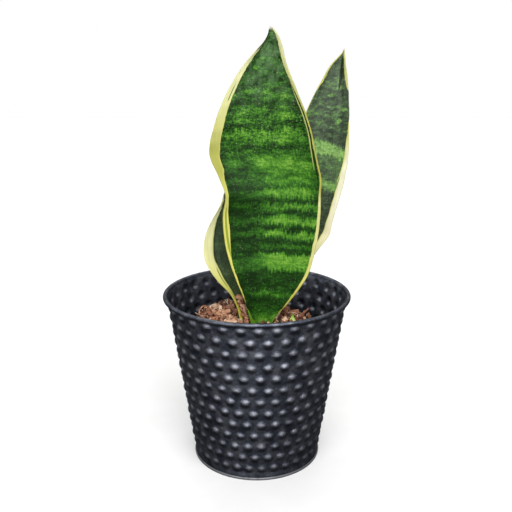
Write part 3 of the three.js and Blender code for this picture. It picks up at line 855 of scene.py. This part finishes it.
frontLook = {
    "roughness": 0.48,
    "wax": 0.14,
    "offset": 0.0,  # into the noise, so that no two leaves have the same marks
    "grain": {},
    "feather": 9.5,  # mm that the bands' edges are drawn out
    "wave": 9.0,
    "slope": 0.0,
    "crisp": (0.12, 0.72),
    "upperPart": (224, 258),  # heights between which low gives way to high in the next five
    "dullAndShade": (0.36, 0.95),
    "mottle": (0.95, 1.7),
    "blotch": (0.8, 1.7),
    "fleck": (0.1, 0.36),
    "specks": (0.28, 0.55),
    "dullAndShadeSide": (-18, 3),  # across, from the darker side, partly its own colour and partly painted shade, to the rest
    "darkEdge": (203, 214, 0.5, 9),  # heights where it begins, tone, reach in mm
    "border": 0.35,  # share of yellow where a margin meets the green
    "bands": [  # height and lightness
        (111, 0.8), (117, 0.55), (122, 0.34), (130, 0.22), (135, 0.46), (141, 0.2), (152, 0.23), (157, 0.66),
        (165.5, 0.7), (168.5, 0.17), (173, 0.44), (177, 0.12), (182.5, 0.68), (187, 0.16), (192.5, 0.7),
        (198.5, 0.2), (203.5, 0.56), (207.5, 0.2), (214, 0.68), (218.5, 0.34), (222.5, 0.58), (226, 0.4),
        (235, 0.62), (245, 0.28), (256, 0.54), (261.5, 0.22), (268, 0.46), (278, 0.26), (283, 0.42),
        (290, 0.24), (300, 0.3), (330, 0.22),
    ],
    "greens": [(0.0, "#0c2605"), (0.22, "#1b400e"), (0.48, "#33671a"), (0.72, "#558c28"), (1.0, "#82ae44")],
    "bloom": (266, 318, 0.75),  # heights where it begins and is whole, share
    "bloomColour": "#678b5b",
    "leftYellow": [
        (96, "#8fa030"), (150, "#d2cc62"), (200, "#d5d372"), (228, "#a5a64d"), (246, "#a9ab56"),
        (262, "#cdcc7f"), (300, "#eeedb8"), (329, "#d5d9ae"),
    ],
    "rightYellow": [
        (96, "#b0a93c"), (135, "#beb950"), (150, "#d3ce70"), (175, "#d9d792"), (200, "#d9d693"),
        (207, "#e3e1a8"), (212, "#c6c88a"), (217, "#a49c47"), (225, "#b3ae58"), (240, "#9f9a48"),
        (262, "#a09f4c"), (272, "#939c4c"), (282, "#b5b775"), (296, "#cdce8c"), (329, "#e2e3b8"),
    ],
}
evenLook = dict(  # the two rear leaves, which have no darker side of painted shade and softer bands
    frontLook, feather=7.0, crisp=None, specks=(0.3, 0.3), dullAndShade=(1.0, 1.0), dullAndShadeSide=(-60, -50))
rightLook = dict(
    evenLook,
    wax=0.25,
    offset=7.3,
    grain={"blotch": (6, 2.8, 3, 0.5)},
    wave=8.0,
    slope=0.27,
    upperPart=(242, 260),
    mottle=(1.3, 1.5),
    blotch=(0.9, 2.1),
    fleck=(0.22, 0.22),
    darkEdge=(242, 260, 0.8, 7),
    border=0.9,
    bands=[
        (96, 0.3), (170, 0.15), (190, 0.1), (205, 0.12), (211, 0.2), (213, 0.72), (218.5, 0.74), (221, 0.36),
        (230, 0.36), (236, 0.34), (239, 0.9), (246, 0.85), (249, 0.1), (256, 0.1), (259, 0.42), (262, 0.12),
        (266, 0.45), (270, 0.18), (274, 0.45), (278, 0.15), (282, 0.4), (286, 0.2), (292, 0.3), (299, 0.15),
        (313, 0.3),
    ],
    greens=[(0.0, "#2d382b"), (0.3, "#46553f"), (0.5, "#547247"), (0.75, "#6d984b"), (1.0, "#92ba69")],
    bloom=(200, 320, 0.5),
    bloomColour="#64785c",
    leftYellow=[(96, "#b9bb50"), (240, "#aeb04c"), (275, "#b6b955"), (290, "#d0d27c"), (313, "#d8d9a0")],
    rightYellow=[
        (96, "#dcd67a"), (145, "#ece58e"), (160, "#f9f2b4"), (175, "#fff8c8"), (200, "#f9f5d6"),
        (230, "#f6f4cf"), (250, "#d9dca0"), (275, "#bfc77a"), (313, "#cfd49a"),
    ],
)
leftLook = dict(
    evenLook,
    wax=0.2,
    offset=13.7,
    upperPart=(220, 250),
    mottle=(0.7, 0.7),
    blotch=(0.4, 0.4),
    fleck=(0.36, 0.36),
    darkEdge=(220, 250, 1.0, 7),
    bands=[
        (96, 0.3), (120, 0.2), (130, 0.4), (138, 0.2), (146, 0.4), (152, 0.15), (160, 0.1), (166, 0.35),
        (172, 0.15), (185, 0.3), (208, 0.2),
    ],
    greens=[(0.0, "#222d1c"), (0.3, "#35452a"), (0.6, "#4c603c"), (1.0, "#67824f")],
    bloom=(100, 210, 0.2),
    bloomColour="#55685a",
    leftYellow=[
        (96, "#b0a932"), (118, "#d3cc49"), (135, "#e6e378"), (160, "#f0eeae"), (190, "#f4f3ba"),
        (208, "#e2e3ad"),
    ],
    rightYellow=[(96, "#cfc84a"), (208, "#dfe1ad")],
)
for leafName, leaf, look, leafSlot, leafNode in (
        ("banded_leaf", frontLeaf, frontLook, "leaf_banded", "leaf_front"),
        ("grey_leaf", rightLeaf, rightLook, "leaf_grey", "leaf_right"),
        ("dark_leaf", leftLeaf, leftLook, "leaf_dark", "leaf_left")):
    finishPiece(makeLeaf(leaf), leafName, leafSkin(leafName + "_skin", leaf, look), leafNode)
    print(leafName, "grown")

newShoot = {
    "across": 27.5,
    "depth": -7.0,
    "foot": 96.3,
    "soil": 112.0,
    "tip": 118.5,
    "radius": 2.9,
    "taper": 1.35,
    "pointRadius": 0.12,
    "neck": (0.3, 0.7),  # share of its length that narrows to the rhizome, and how thin it starts
    "furrow": (0.38, -0.3, 0.45),  # down its front: depth, turn and width, in radians
    "lean": 0.5,
    "flattened": 0.8,
}


# A furled young leaf: a slim spike, hollow down its front, widening to a sheath at the mix.
def makeShoot(material):
    piece = tubeBlank(28, (6, 5), "TRIFAN")
    for vertex in piece.data.vertices:
        share = vertex.co.z
        height = newShoot["foot"] + (newShoot["tip"] - newShoot["foot"]) * share
        above = max(0.0, (height - newShoot["soil"]) / (newShoot["tip"] - newShoot["soil"]))
        radius = newShoot["radius"] * (1 - above) ** newShoot["taper"] + newShoot["pointRadius"]
        if share < newShoot["neck"][0]:
            radius *= newShoot["neck"][1] + share
        around = math.atan2(vertex.co.y, vertex.co.x)
        if math.hypot(vertex.co.x, vertex.co.y) < 0.5:
            radius = 0
        deep, turned, wide = newShoot["furrow"]
        radius *= 1 - deep * math.exp(-((around + math.pi / 2 - turned) / wide) ** 2) * (1 - above)
        vertex.co = Vector((
            newShoot["across"] + radius * math.cos(around) + newShoot["lean"] * above * above,
            newShoot["depth"] + radius * math.sin(around) * newShoot["flattened"], height)) * mm
    makeActive(piece)
    bpy.ops.object.shade_smooth()
    finishPiece(piece, "furled_shoot", material, "new_shoot")
    print("shoot made")


# Tender new growth: thin-skinned, bright lime, paler at the sheath.
def tenderShoot():
    material, tree = startMaterial("tender_shoot_skin")
    place = (addNode(tree, "TexCoord", {}), "Object")
    drawn = addNode(tree, "Mapping", {"Scale": (grain(0.6), grain(0.6), grain(9)), 0: place})
    fibre = addNode(tree, "TexNoise", {"Scale": 1.0, "Detail": 2, "Vector": drawn})
    height = (addNode(tree, "SeparateXYZ", {0: place}), "Z")
    above = addNode(tree, "MapRange", {0: height, "From": (newShoot["soil"] * mm, newShoot["tip"] * mm)})
    shifted = addNode(tree, "Math MULTIPLY_ADD", {0: fibre, 1: 0.5, 2: above})
    colour = addNode(tree, "ValToRGB", {
        0: shifted, "stops": [(0.2, "#e3efbb"), (0.5, "#cbe37e"), (0.8, "#a9cf4f"), (1.0, "#7fae35")]})
    return finishMaterial(material, {"Roughness": 0.4, "IOR": 1.45, "Base Color": colour})


makeShoot(tenderShoot())

# Rhizome and roots, down in the mix: corky tan skin with darker rings and spots.
for skinName, size, dark, pale, corkyNodes in (
        ("corky_rhizome_skin", 3, "#8a5a2b", "#d09a55", ["rhizome"]),
        ("fleshy_root_skin", 2, "#a97b45", "#dcc08c", ["root_%d" % i for i in range(1, 7)])):
    skin = mottledMaterial(
        skinName, size, 5, 0.6, [(0.3, dark), (0.65, pale)], {"Roughness": 0.7, "IOR": 1.5}, (0.4, 0.3))
    giveMaterial(skin, *corkyNodes)

mix = {
    "across": -3.0,
    "top": 112.0,
    "rim": 103.0,  # where it stops touching the nursery pot
    "floor": 4.4,
    "foot": (36.4, 36.9, 0.6),  # radius at the floor, and above its rounded corner so much higher
    "edge": 47.6,
    "falls": [(2.0, 38, 45), (5.5, 44, 48.5)],  # mm lower, from this to this radius
    "hollows": [(32, 22, 5.0, 4, 24), (4, -22, 7.0, 6, 14)],  # across, depth, sunk, from, to radius
    "around": 90,
    "lumps": 1.3,
    "lumpSize": 6,
    "underLitter": 1.2,
}


def mixTopAt(x, y):  # height of the mix, mm
    away = math.hypot(x - mix["across"], y)
    height = mix["top"]
    for fall, near, far in mix["falls"]:
        height -= fall * between(near, far, away)
    for sunkX, sunkY, sunk, near, far in mix["hollows"]:
        height -= sunk * (1 - between(near, far, math.hypot(x - sunkX, y - sunkY)))
    return height + mix["lumps"] * noise.noise(Vector((x / mix["lumpSize"], y / mix["lumpSize"], 3.1)))


def makeMixBed(material):
    floor, rim, top = mix["floor"], mix["rim"], mix["top"]
    inner, outer, corner = mix["foot"]
    profile = [(0.01, floor), (20, floor), (inner, floor), (outer, floor + corner)]
    for share in (0.25, 0.5, 0.75, 1):
        profile.append((outer + (mix["edge"] - outer) * share, floor + (rim - floor) * share))
    profile += [(radius, top) for radius in [47, 46, 45, 43.5, 42] + list(range(40, 1, -2)) + [0.01]]
    piece = turnProfile(profile, mix["around"], mix["across"])
    for vertex in piece.data.vertices:
        if vertex.co.z > (rim + 1) * mm:
            under = mixTopAt(vertex.co.x / mm, vertex.co.y / mm) - mix["underLitter"]
            vertex.co.z = max(rim + 0.5, under) * mm
    finishPiece(piece, "husk_bed", material, "potting_mix", smooth=60)
    print("mix bed made")


# Composted coir pith between the husk chips: dark, damp and crumbly.
makeMixBed(mottledMaterial(
    "damp_coir_pith", 1.6, 6, 0.7, [(0.35, "#22130c"), (0.5, "#43281a"), (0.68, "#7a4e36")],
    {"Roughness": 0.9, "IOR": 1.5}, (0.8, 0.8)))


# Coconut husk, chopped: red-brown and fibrous, paler where it was cut, each chip with its own tone.
def choppedHusk():
    material, tree = startMaterial("chopped_coir_husk")
    across, along, tone = [
        addNode(tree, "Attribute", {"attribute_name": stored})
        for stored in ("acrossGrain", "alongGrain", "tone")]
    # fibres are 0.4 mm apart and a few mm long, and chips of another tone have others
    axes = [
        addNode(tree, "Math MULTIPLY", {0: stored, 1: scale})
        for stored, scale in ((across, 2.6), (along, 0.35), (tone, 90.0))]
    lay = addNode(tree, "CombineXYZ", dict(enumerate(axes)))
    fibres = addNode(tree, "TexNoise", {"Scale": 1.0, "Detail": 4, "Roughness": 0.65, "Vector": lay})
    centred = addNode(tree, "Math SUBTRACT", {0: fibres, 1: 0.5})
    light = addNode(tree, "Math MULTIPLY_ADD", {0: centred, 1: 1.1, 2: tone})
    colour = addNode(tree, "ValToRGB", {0: light, "stops": [
        (0.0, "#2c170e"), (0.25, "#5a3423"), (0.5, "#8d5a41"), (0.72, "#b4805f"), (0.88, "#d3a98a"),
        (1.0, "#ecd2b8")]})
    bump = addNode(tree, "Bump", {"Strength": 0.6, "Distance": 0.4 * mm, "Height": fibres})
    return finishMaterial(material, {"Roughness": 0.78, "IOR": 1.5, "Base Color": colour, "Normal": bump})


husk = choppedHusk()
noise.seed_set(21)  # unseeded, noise_vector differs from run to run
chipShape = {
    "coarse": (2.3, 0.6),  # fineness and share of the raggedness
    "fine": (5.1, 0.35),
    "corners": ((0.35, 0.5), (0.45, 0.45)),  # how much, and from where, they are cut, along and across
    "narrowed": 0.25,  # towards its ends
}
strandShape = {"taper": 2.4, "coil": 2.5, "sway": 0.14, "lift": 0.1}


def storeGrain(piece, places):  # along and across the fibres, in mm, for each point
    for name, values in zip(("alongGrain", "acrossGrain"), zip(*places)):
        storeValues(piece, name, values)


# One ragged chip from a cut-up cube; grain places are stored in mm before it is laid.
def ragChip(size, cuts, seed, ragged, curl):
    bpy.ops.object.select_all(action="DESELECT")
    bpy.ops.mesh.primitive_cube_add(size=1)
    piece = bpy.context.object
    bpy.ops.object.mode_set(mode="EDIT")
    bpy.ops.mesh.select_all(action="SELECT")
    bpy.ops.mesh.subdivide(number_cuts=cuts)
    bpy.ops.object.mode_set(mode="OBJECT")
    (coarse, coarseShare), (fine, fineShare) = chipShape["coarse"], chipShape["fine"]
    (cutAlong, fromAlong), (cutAcross, fromAcross) = chipShape["corners"]
    places = []
    for vertex in piece.data.vertices:
        point = vertex.co.copy()
        sway = noise.noise_vector(point * coarse + Vector((seed * 3.7, 1.3, 0.4)))
        quiver = noise.noise_vector(point * fine + Vector((0.2, seed * 2.9, 4.4)))
        outline = math.hypot(point.x, point.y)
        point.x *= 1 - cutAlong * max(0.0, outline - fromAlong)
        point.y *= 1 - cutAcross * max(0.0, outline - fromAcross) - chipShape["narrowed"] * abs(point.x)
        point += sway * ragged * coarseShare + quiver * ragged * fineShare
        point.z += curl * (point.x * point.x * 2 - 0.2)
        vertex.co = Vector((point.x * size[0], point.y * size[1], point.z * size[2])) * mm
        places.append((point.x * size[0], point.y * size[1] + point.z * size[2]))
    storeGrain(piece, places)
    return piece


def huskStrand(length, radius, bend, seed):
    piece = tubeBlank(5, (8,), "NGON")
    places = []
    for vertex in piece.data.vertices:
        share = vertex.co.z - 0.5
        thin = radius * (1 - strandShape["taper"] * share * share)
        sway = noise.noise_vector(Vector((share * strandShape["coil"], seed * 1.7, 0.5))) * length
        vertex.co = Vector((
            share * length + thin * 0.3 * vertex.co.x,
            bend * (share * share * 4 - 0.5) + sway.y * strandShape["sway"] + thin * vertex.co.y,
            sway.z * strandShape["lift"] + thin * vertex.co.x)) * mm
        places.append((share * length, 0.0))
    storeGrain(piece, places)
    return piece


def layCopy(pattern, place, turn, scale, tone):
    copy = pattern.copy()
    copy.data = pattern.data.copy()
    bpy.context.collection.objects.link(copy)
    copy.matrix_world = Matrix.LocRotScale(Vector(place) * mm, Euler(turn), Vector((scale, scale, scale)))
    storeValues(copy, "tone", [tone] * len(copy.data.vertices))
    return copy


def joinPieces(pieces):
    bpy.ops.object.select_all(action="DESELECT")
    for piece in pieces:
        piece.select_set(True)
    bpy.context.view_layer.objects.active = pieces[0]
    bpy.ops.object.join()
    bpy.ops.object.transform_apply(location=True, rotation=True, scale=True)
    return bpy.context.object


def leafFeet(height):  # points along each blade at a height, which chips keep off
    points = []
    for leaf in (frontLeaf, rightLeaf, leftLeaf):
        centre, half, wrap, across, back = bladeSection(leaf, height)
        for s in [i / 4 - 1 for i in range(9)]:
            outwards = across * math.sin(s * wrap) + back * math.cos(s * wrap)
            points.append((centre + outwards * (half / math.sin(wrap) + 2)).xy)
    return points


litter = {
    "seed": 21,
    "chips": 900,
    "strands": 150,
    "reach": 46.5,
    "keepOff": 3.2,  # mm between a chip's middle and a leaf
    "lift": {"chips": (-1.0, 2.0), "strands": (0.4, 2.6)},
    "tilt": 0.8,
    "scale": (0.55, 1.15),
    "tone": (0.38, 0.18, 0.26),  # at the bed, more for each mm above it as painted shade on the deeper chips, spread
    "chipPatterns": [  # size, cuts, seed, raggedness, curl; the last, large one is only placed one by one
        ((6.4, 3.2, 1.2), 2, 1, 0.38, 0.6), ((4.8, 2.8, 1.6), 2, 2, 0.44, 0.0),
        ((7.8, 1.8, 1.1), 2, 3, 0.34, 0.9), ((5.6, 3.2, 1.1), 2, 4, 0.46, -0.6),
        ((3.8, 2.0, 1.1), 2, 5, 0.44, 0.4), ((8.5, 5.5, 3.4), 6, 9, 0.5, 0.3),
    ],
    "strandPatterns": [  # length, radius, bend, seed
        (13, 0.3, 3.0, 1), (10, 0.26, -2.0, 2), (16, 0.34, 1.2, 3)],
    "placed": [  # husk pushed up between the two front leaves: pattern, place, scale, tilt, tone
        (1, (-12.4, -7.0, 131.0), 1.5, (0.2, 0.5, 0.4), 0.7),
        (4, (-10.6, -7.6, 127.2), 1.6, (0.4, 1.3, 0.2), 0.35),
        (3, (-9.6, -8.6, 124.0), 1.1, (1.1, 0.9, 0.3), 0.85),
        (2, (-8.6, -9.6, 119.8), 1.0, (1.0, 1.1, 0.5), 0.9),
        (1, (-7.6, -10.4, 115.8), 1.0, (0.3, 0.6, 1.1), 0.75),
        (1, (-8.6, -6.8, 119.0), 1.3, (0.5, 0.2, 2.0), 0.3),
        (1, (-8.6, -6.0, 125.0), 1.2, (0.1, 0.9, 1.0), 0.3),
        (5, (-19.6, -4.6, 114.0), 0.7, (0.9, 0.5, 1.2), 0.84),
        (1, (-12.6, -7.2, 128.0), 1.0, (1.2, 0.4, 0.9), 0.8),
        (4, (-12.2, -7.6, 125.0), 1.2, (0.5, 0.9, 0.1), 0.5),
        (3, (-11.3, -8.2, 121.6), 1.0, (0.9, 0.7, 1.3), 0.75),
        (0, (-10.2, -8.8, 117.6), 0.9, (1.1, 0.5, 0.4), 0.6),
        (4, (-15.6, -6.6, 113.6), 1.1, (0.4, 0.8, 0.2), 0.7),
        (3, (-29.5, 1.0, 115.6), 1.1, (0.7, 0.2, 1.5), 0.8),
        (0, (-24.0, 2.0, 116.4), 1.0, (0.9, -0.3, 0.2), 0.75),
    ],
}


def scatterHusk(material):
    dice = random.Random(litter["seed"])
    chips = [ragChip(*values) for values in litter["chipPatterns"]]
    strands = [huskStrand(*values) for values in litter["strandPatterns"]]
    feet = leafFeet(115)
    feet += [Vector((newShoot["across"], newShoot["depth"] - ahead)) for ahead in (0, 4)]
    laid = {"chips": [], "strands": []}
    for kind, patterns in (("chips", chips[:-1]), ("strands", strands)):
        while len(laid[kind]) < litter[kind]:
            away = litter["reach"] * math.sqrt(dice.random())
            turn = dice.uniform(0, 2 * math.pi)
            x, y = mix["across"] + away * math.cos(turn), away * math.sin(turn)
            pattern = dice.choice(patterns)
            lift = dice.uniform(*litter["lift"][kind])
            tilt = (*[dice.gauss(0, litter["tilt"]) for _ in range(2)], dice.uniform(0, 2 * math.pi))
            scale = dice.uniform(*litter["scale"])
            low, depthShadePerMm, spread = litter["tone"]
            # deeper chips get a darker tone: painted shade
            tone = min(1.0, max(0.05, dice.gauss(low + depthShadePerMm * lift, spread)))
            if min((Vector((x, y)) - point).length for point in feet) >= litter["keepOff"]:
                laid[kind].append(layCopy(pattern, (x, y, mixTopAt(x, y) + lift), tilt, scale, tone))
    for k, place, scale, tilt, tone in litter["placed"]:
        laid["chips"].append(layCopy(chips[k], place, tilt, scale, tone))
    for kind, name in (("chips", "husk_litter"), ("strands", "husk_strands")):
        finishPiece(joinPieces(laid[kind]), name, material)
    for pattern in chips + strands:
        bpy.data.objects.remove(pattern)
    print("husk scattered,", len(laid["chips"]), "chips and", len(laid["strands"]), "strands")


scatterHusk(husk)

largeChips = {
    "thick": 2.4,
    "height": 113.6,
    "tilt": (0.12, -0.1),
    "cuts": 5,
    "firstSeed": 20,
    "ragged": 0.3,
    "curl": 0.25,
    "laid": [  # across, depth, length, width, turn in degrees, tone
        (-21, -16, 11, 8, 20, 0.86), (-33, -10, 8, 5, 70, 0.6), (-38, 3, 7, 5, -30, 0.5),
        (-30, 8, 9, 5, 10, 0.7), (-22, 20, 8, 6, 50, 0.55), (-10, 30, 9, 5, -20, 0.5),
        (10, 28, 8, 5, 35, 0.45), (21, 20, 9, 6, -50, 0.5), (30, 8, 7, 5, 15, 0.55),
        (30, -20, 8, 5, -35, 0.6), (16, -24, 9, 6, 60, 0.8), (2, -28, 8, 5, -10, 0.55),
        (-14, -29, 9, 5, 30, 0.65), (-30, -22, 8, 6, -60, 0.6),
    ],
}
for i, (x, y, length, width, turn, tone) in enumerate(largeChips["laid"]):
    chip = ragChip((length, width, largeChips["thick"]), largeChips["cuts"], largeChips["firstSeed"] + i,
                   largeChips["ragged"], largeChips["curl"])
    storeValues(chip, "tone", [tone] * len(chip.data.vertices))
    chip.location = Vector((x, y, largeChips["height"])) * mm
    chip.rotation_euler = (*largeChips["tilt"], math.radians(turn))
    finishPiece(chip, "husk_flake_%d" % (i + 1), husk, "husk_chip_%d" % (i + 1), smooth=30)
print("large chips laid")

fibreAndTwig = [
    {"name": "curled_fibre", "node": "fibre_curl", "radius": 0.6, "ends": 0.5, "tone": 0.6, "path": [
        (-36, 12, 113.5), (-39.5, 9.5, 118.2), (-42.8, 6, 119.4), (-45, 2, 117.4), (-44, -3, 115.0),
        (-39, -5, 112.9)]},
    {"name": "husk_twig", "node": "twig", "radius": 0.9, "ends": 0.7, "tone": 0.42, "path": [
        (32, -4, 113.5), (34.2, -3, 114.8), (36.5, -2, 116.5), (40.5, 0, 120)]},
]
knobbly = (0.25, 0.9)  # share of the radius, and how closely along a strand


# A round strand along a smooth path, thinner at its ends.
def makeStrand(strand):
    piece = tubeBlank(8, (6, 6), "NGON")
    path = strand["path"]
    stations = [[i / (len(path) - 1)] + list(point) for i, point in enumerate(path)]
    length = sum((Vector(b) - Vector(a)).length for a, b in zip(path, path[1:]))
    places = []
    for vertex in piece.data.vertices:
        share = vertex.co.z
        before, here, after = [
            Vector(curveAt(stations, min(1, max(0, share + step)))) for step in (-0.01, 0, 0.01)]
        ahead = (after - before).normalized()
        side = ahead.cross(Vector((0.3, -0.9, 0.2))).normalized()
        other = ahead.cross(side)
        thin = strand["radius"] * (1 - (1 - strand["ends"]) * abs(2 * share - 1) ** 3)
        thin *= 1 + knobbly[0] * noise.noise(here * knobbly[1])
        vertex.co = (here + (side * vertex.co.x + other * vertex.co.y) * thin) * mm
        places.append((share * length, 0.0))
    storeGrain(piece, places)
    storeValues(piece, "tone", [strand["tone"]] * len(places))
    finishPiece(piece, strand["name"], husk, strand["node"], smooth=50)


for strand in fibreAndTwig:
    makeStrand(strand)
print("fibre and twig made")

# The studio: a floor of white card with a trace of tooth, and soft lamps.
bpy.ops.mesh.primitive_plane_add(size=8, location=(0, 0, 0))
floor = bpy.context.object
floor.name = "floor"
floor.visible_diffuse = False  # the pot sits on white card, but takes its dark from below
floor.visible_glossy = False
floor.data.materials.append(mottledMaterial(
    "white_card", 40, 3, 0.5, [(0.3, "#f4f4f3"), (0.7, "#f8f8f7")], {"Roughness": 0.8, "IOR": 1.45}))

for lampName, azimuth, elevation, width, strength in (
        ("top light", 5, 47, 60, 2.0), ("left fill", -105, 28, 60, 0.35), ("right fill", 30, 24, 60, 0.8),
        ("rear fill", 180, 60, 50, 0.6)):
    turn, rise = math.radians(azimuth), math.radians(elevation)
    fromThere = Vector((math.sin(turn) * math.cos(rise), -math.cos(turn) * math.cos(rise), math.sin(rise)))
    bpy.ops.object.light_add(
        type="SUN", location=fromThere, rotation=fromThere.to_track_quat("Z", "Y").to_euler())
    lamp = bpy.context.object
    lamp.name = lampName
    lamp.data.angle = math.radians(width)
    lamp.data.energy = strength

# The key light is a broad soft window in front, painted in the world, over a dim room.
window = {"azimuth": -12, "elevation": 6, "width": 40, "height": 30, "strength": 1.5}
room = {"below": 0.05, "above": 0.55, "seen": 1.0}
world = bpy.data.worlds.new("studio")
world.use_nodes = True
studio.world = world
sky = world.node_tree
axes = addNode(sky, "SeparateXYZ", {0: (addNode(sky, "TexCoord", {}), "Generated")})
ahead = addNode(sky, "Math MULTIPLY", {0: (axes, "Y"), 1: -1.0})
sideways = addNode(sky, "Math ARCTAN2", {0: (axes, "X"), 1: ahead})
upwards = addNode(sky, "Math ARCSINE", {0: (axes, "Z")})
away = 0.0
for angle, middle, spread in ((sideways, "azimuth", "width"), (upwards, "elevation", "height")):
    scaled = addNode(sky, "Math MULTIPLY_ADD", {
        0: angle, 1: 1 / math.radians(window[spread]), 2: -window[middle] / window[spread]})
    far = addNode(sky, "Math ABSOLUTE", {0: scaled})
    squarish = addNode(sky, "Math POWER", {0: far, 1: 4.0})
    away = addNode(sky, "Math ADD", {0: away, 1: squarish})
near = addNode(sky, "Math MULTIPLY", {0: away, 1: -1.0})
glow = addNode(sky, "Math EXPONENT", {0: near})
dim = addNode(sky, "MapRange", {0: (axes, "Z"), "From": (-0.15, 0.9), "To": (room["below"], room["above"])})
light = addNode(sky, "Math MULTIPLY_ADD", {0: glow, 1: window["strength"], 2: dim})
seen = (addNode(sky, "LightPath", {}), "Is Camera Ray")
strength = addNode(sky, "Mix FLOAT", {0: seen, 2: light, 3: room["seen"]})
setNode(sky, sky.nodes["Background"], {"Color": "#ffffff", "Strength": strength})
print("studio lit")
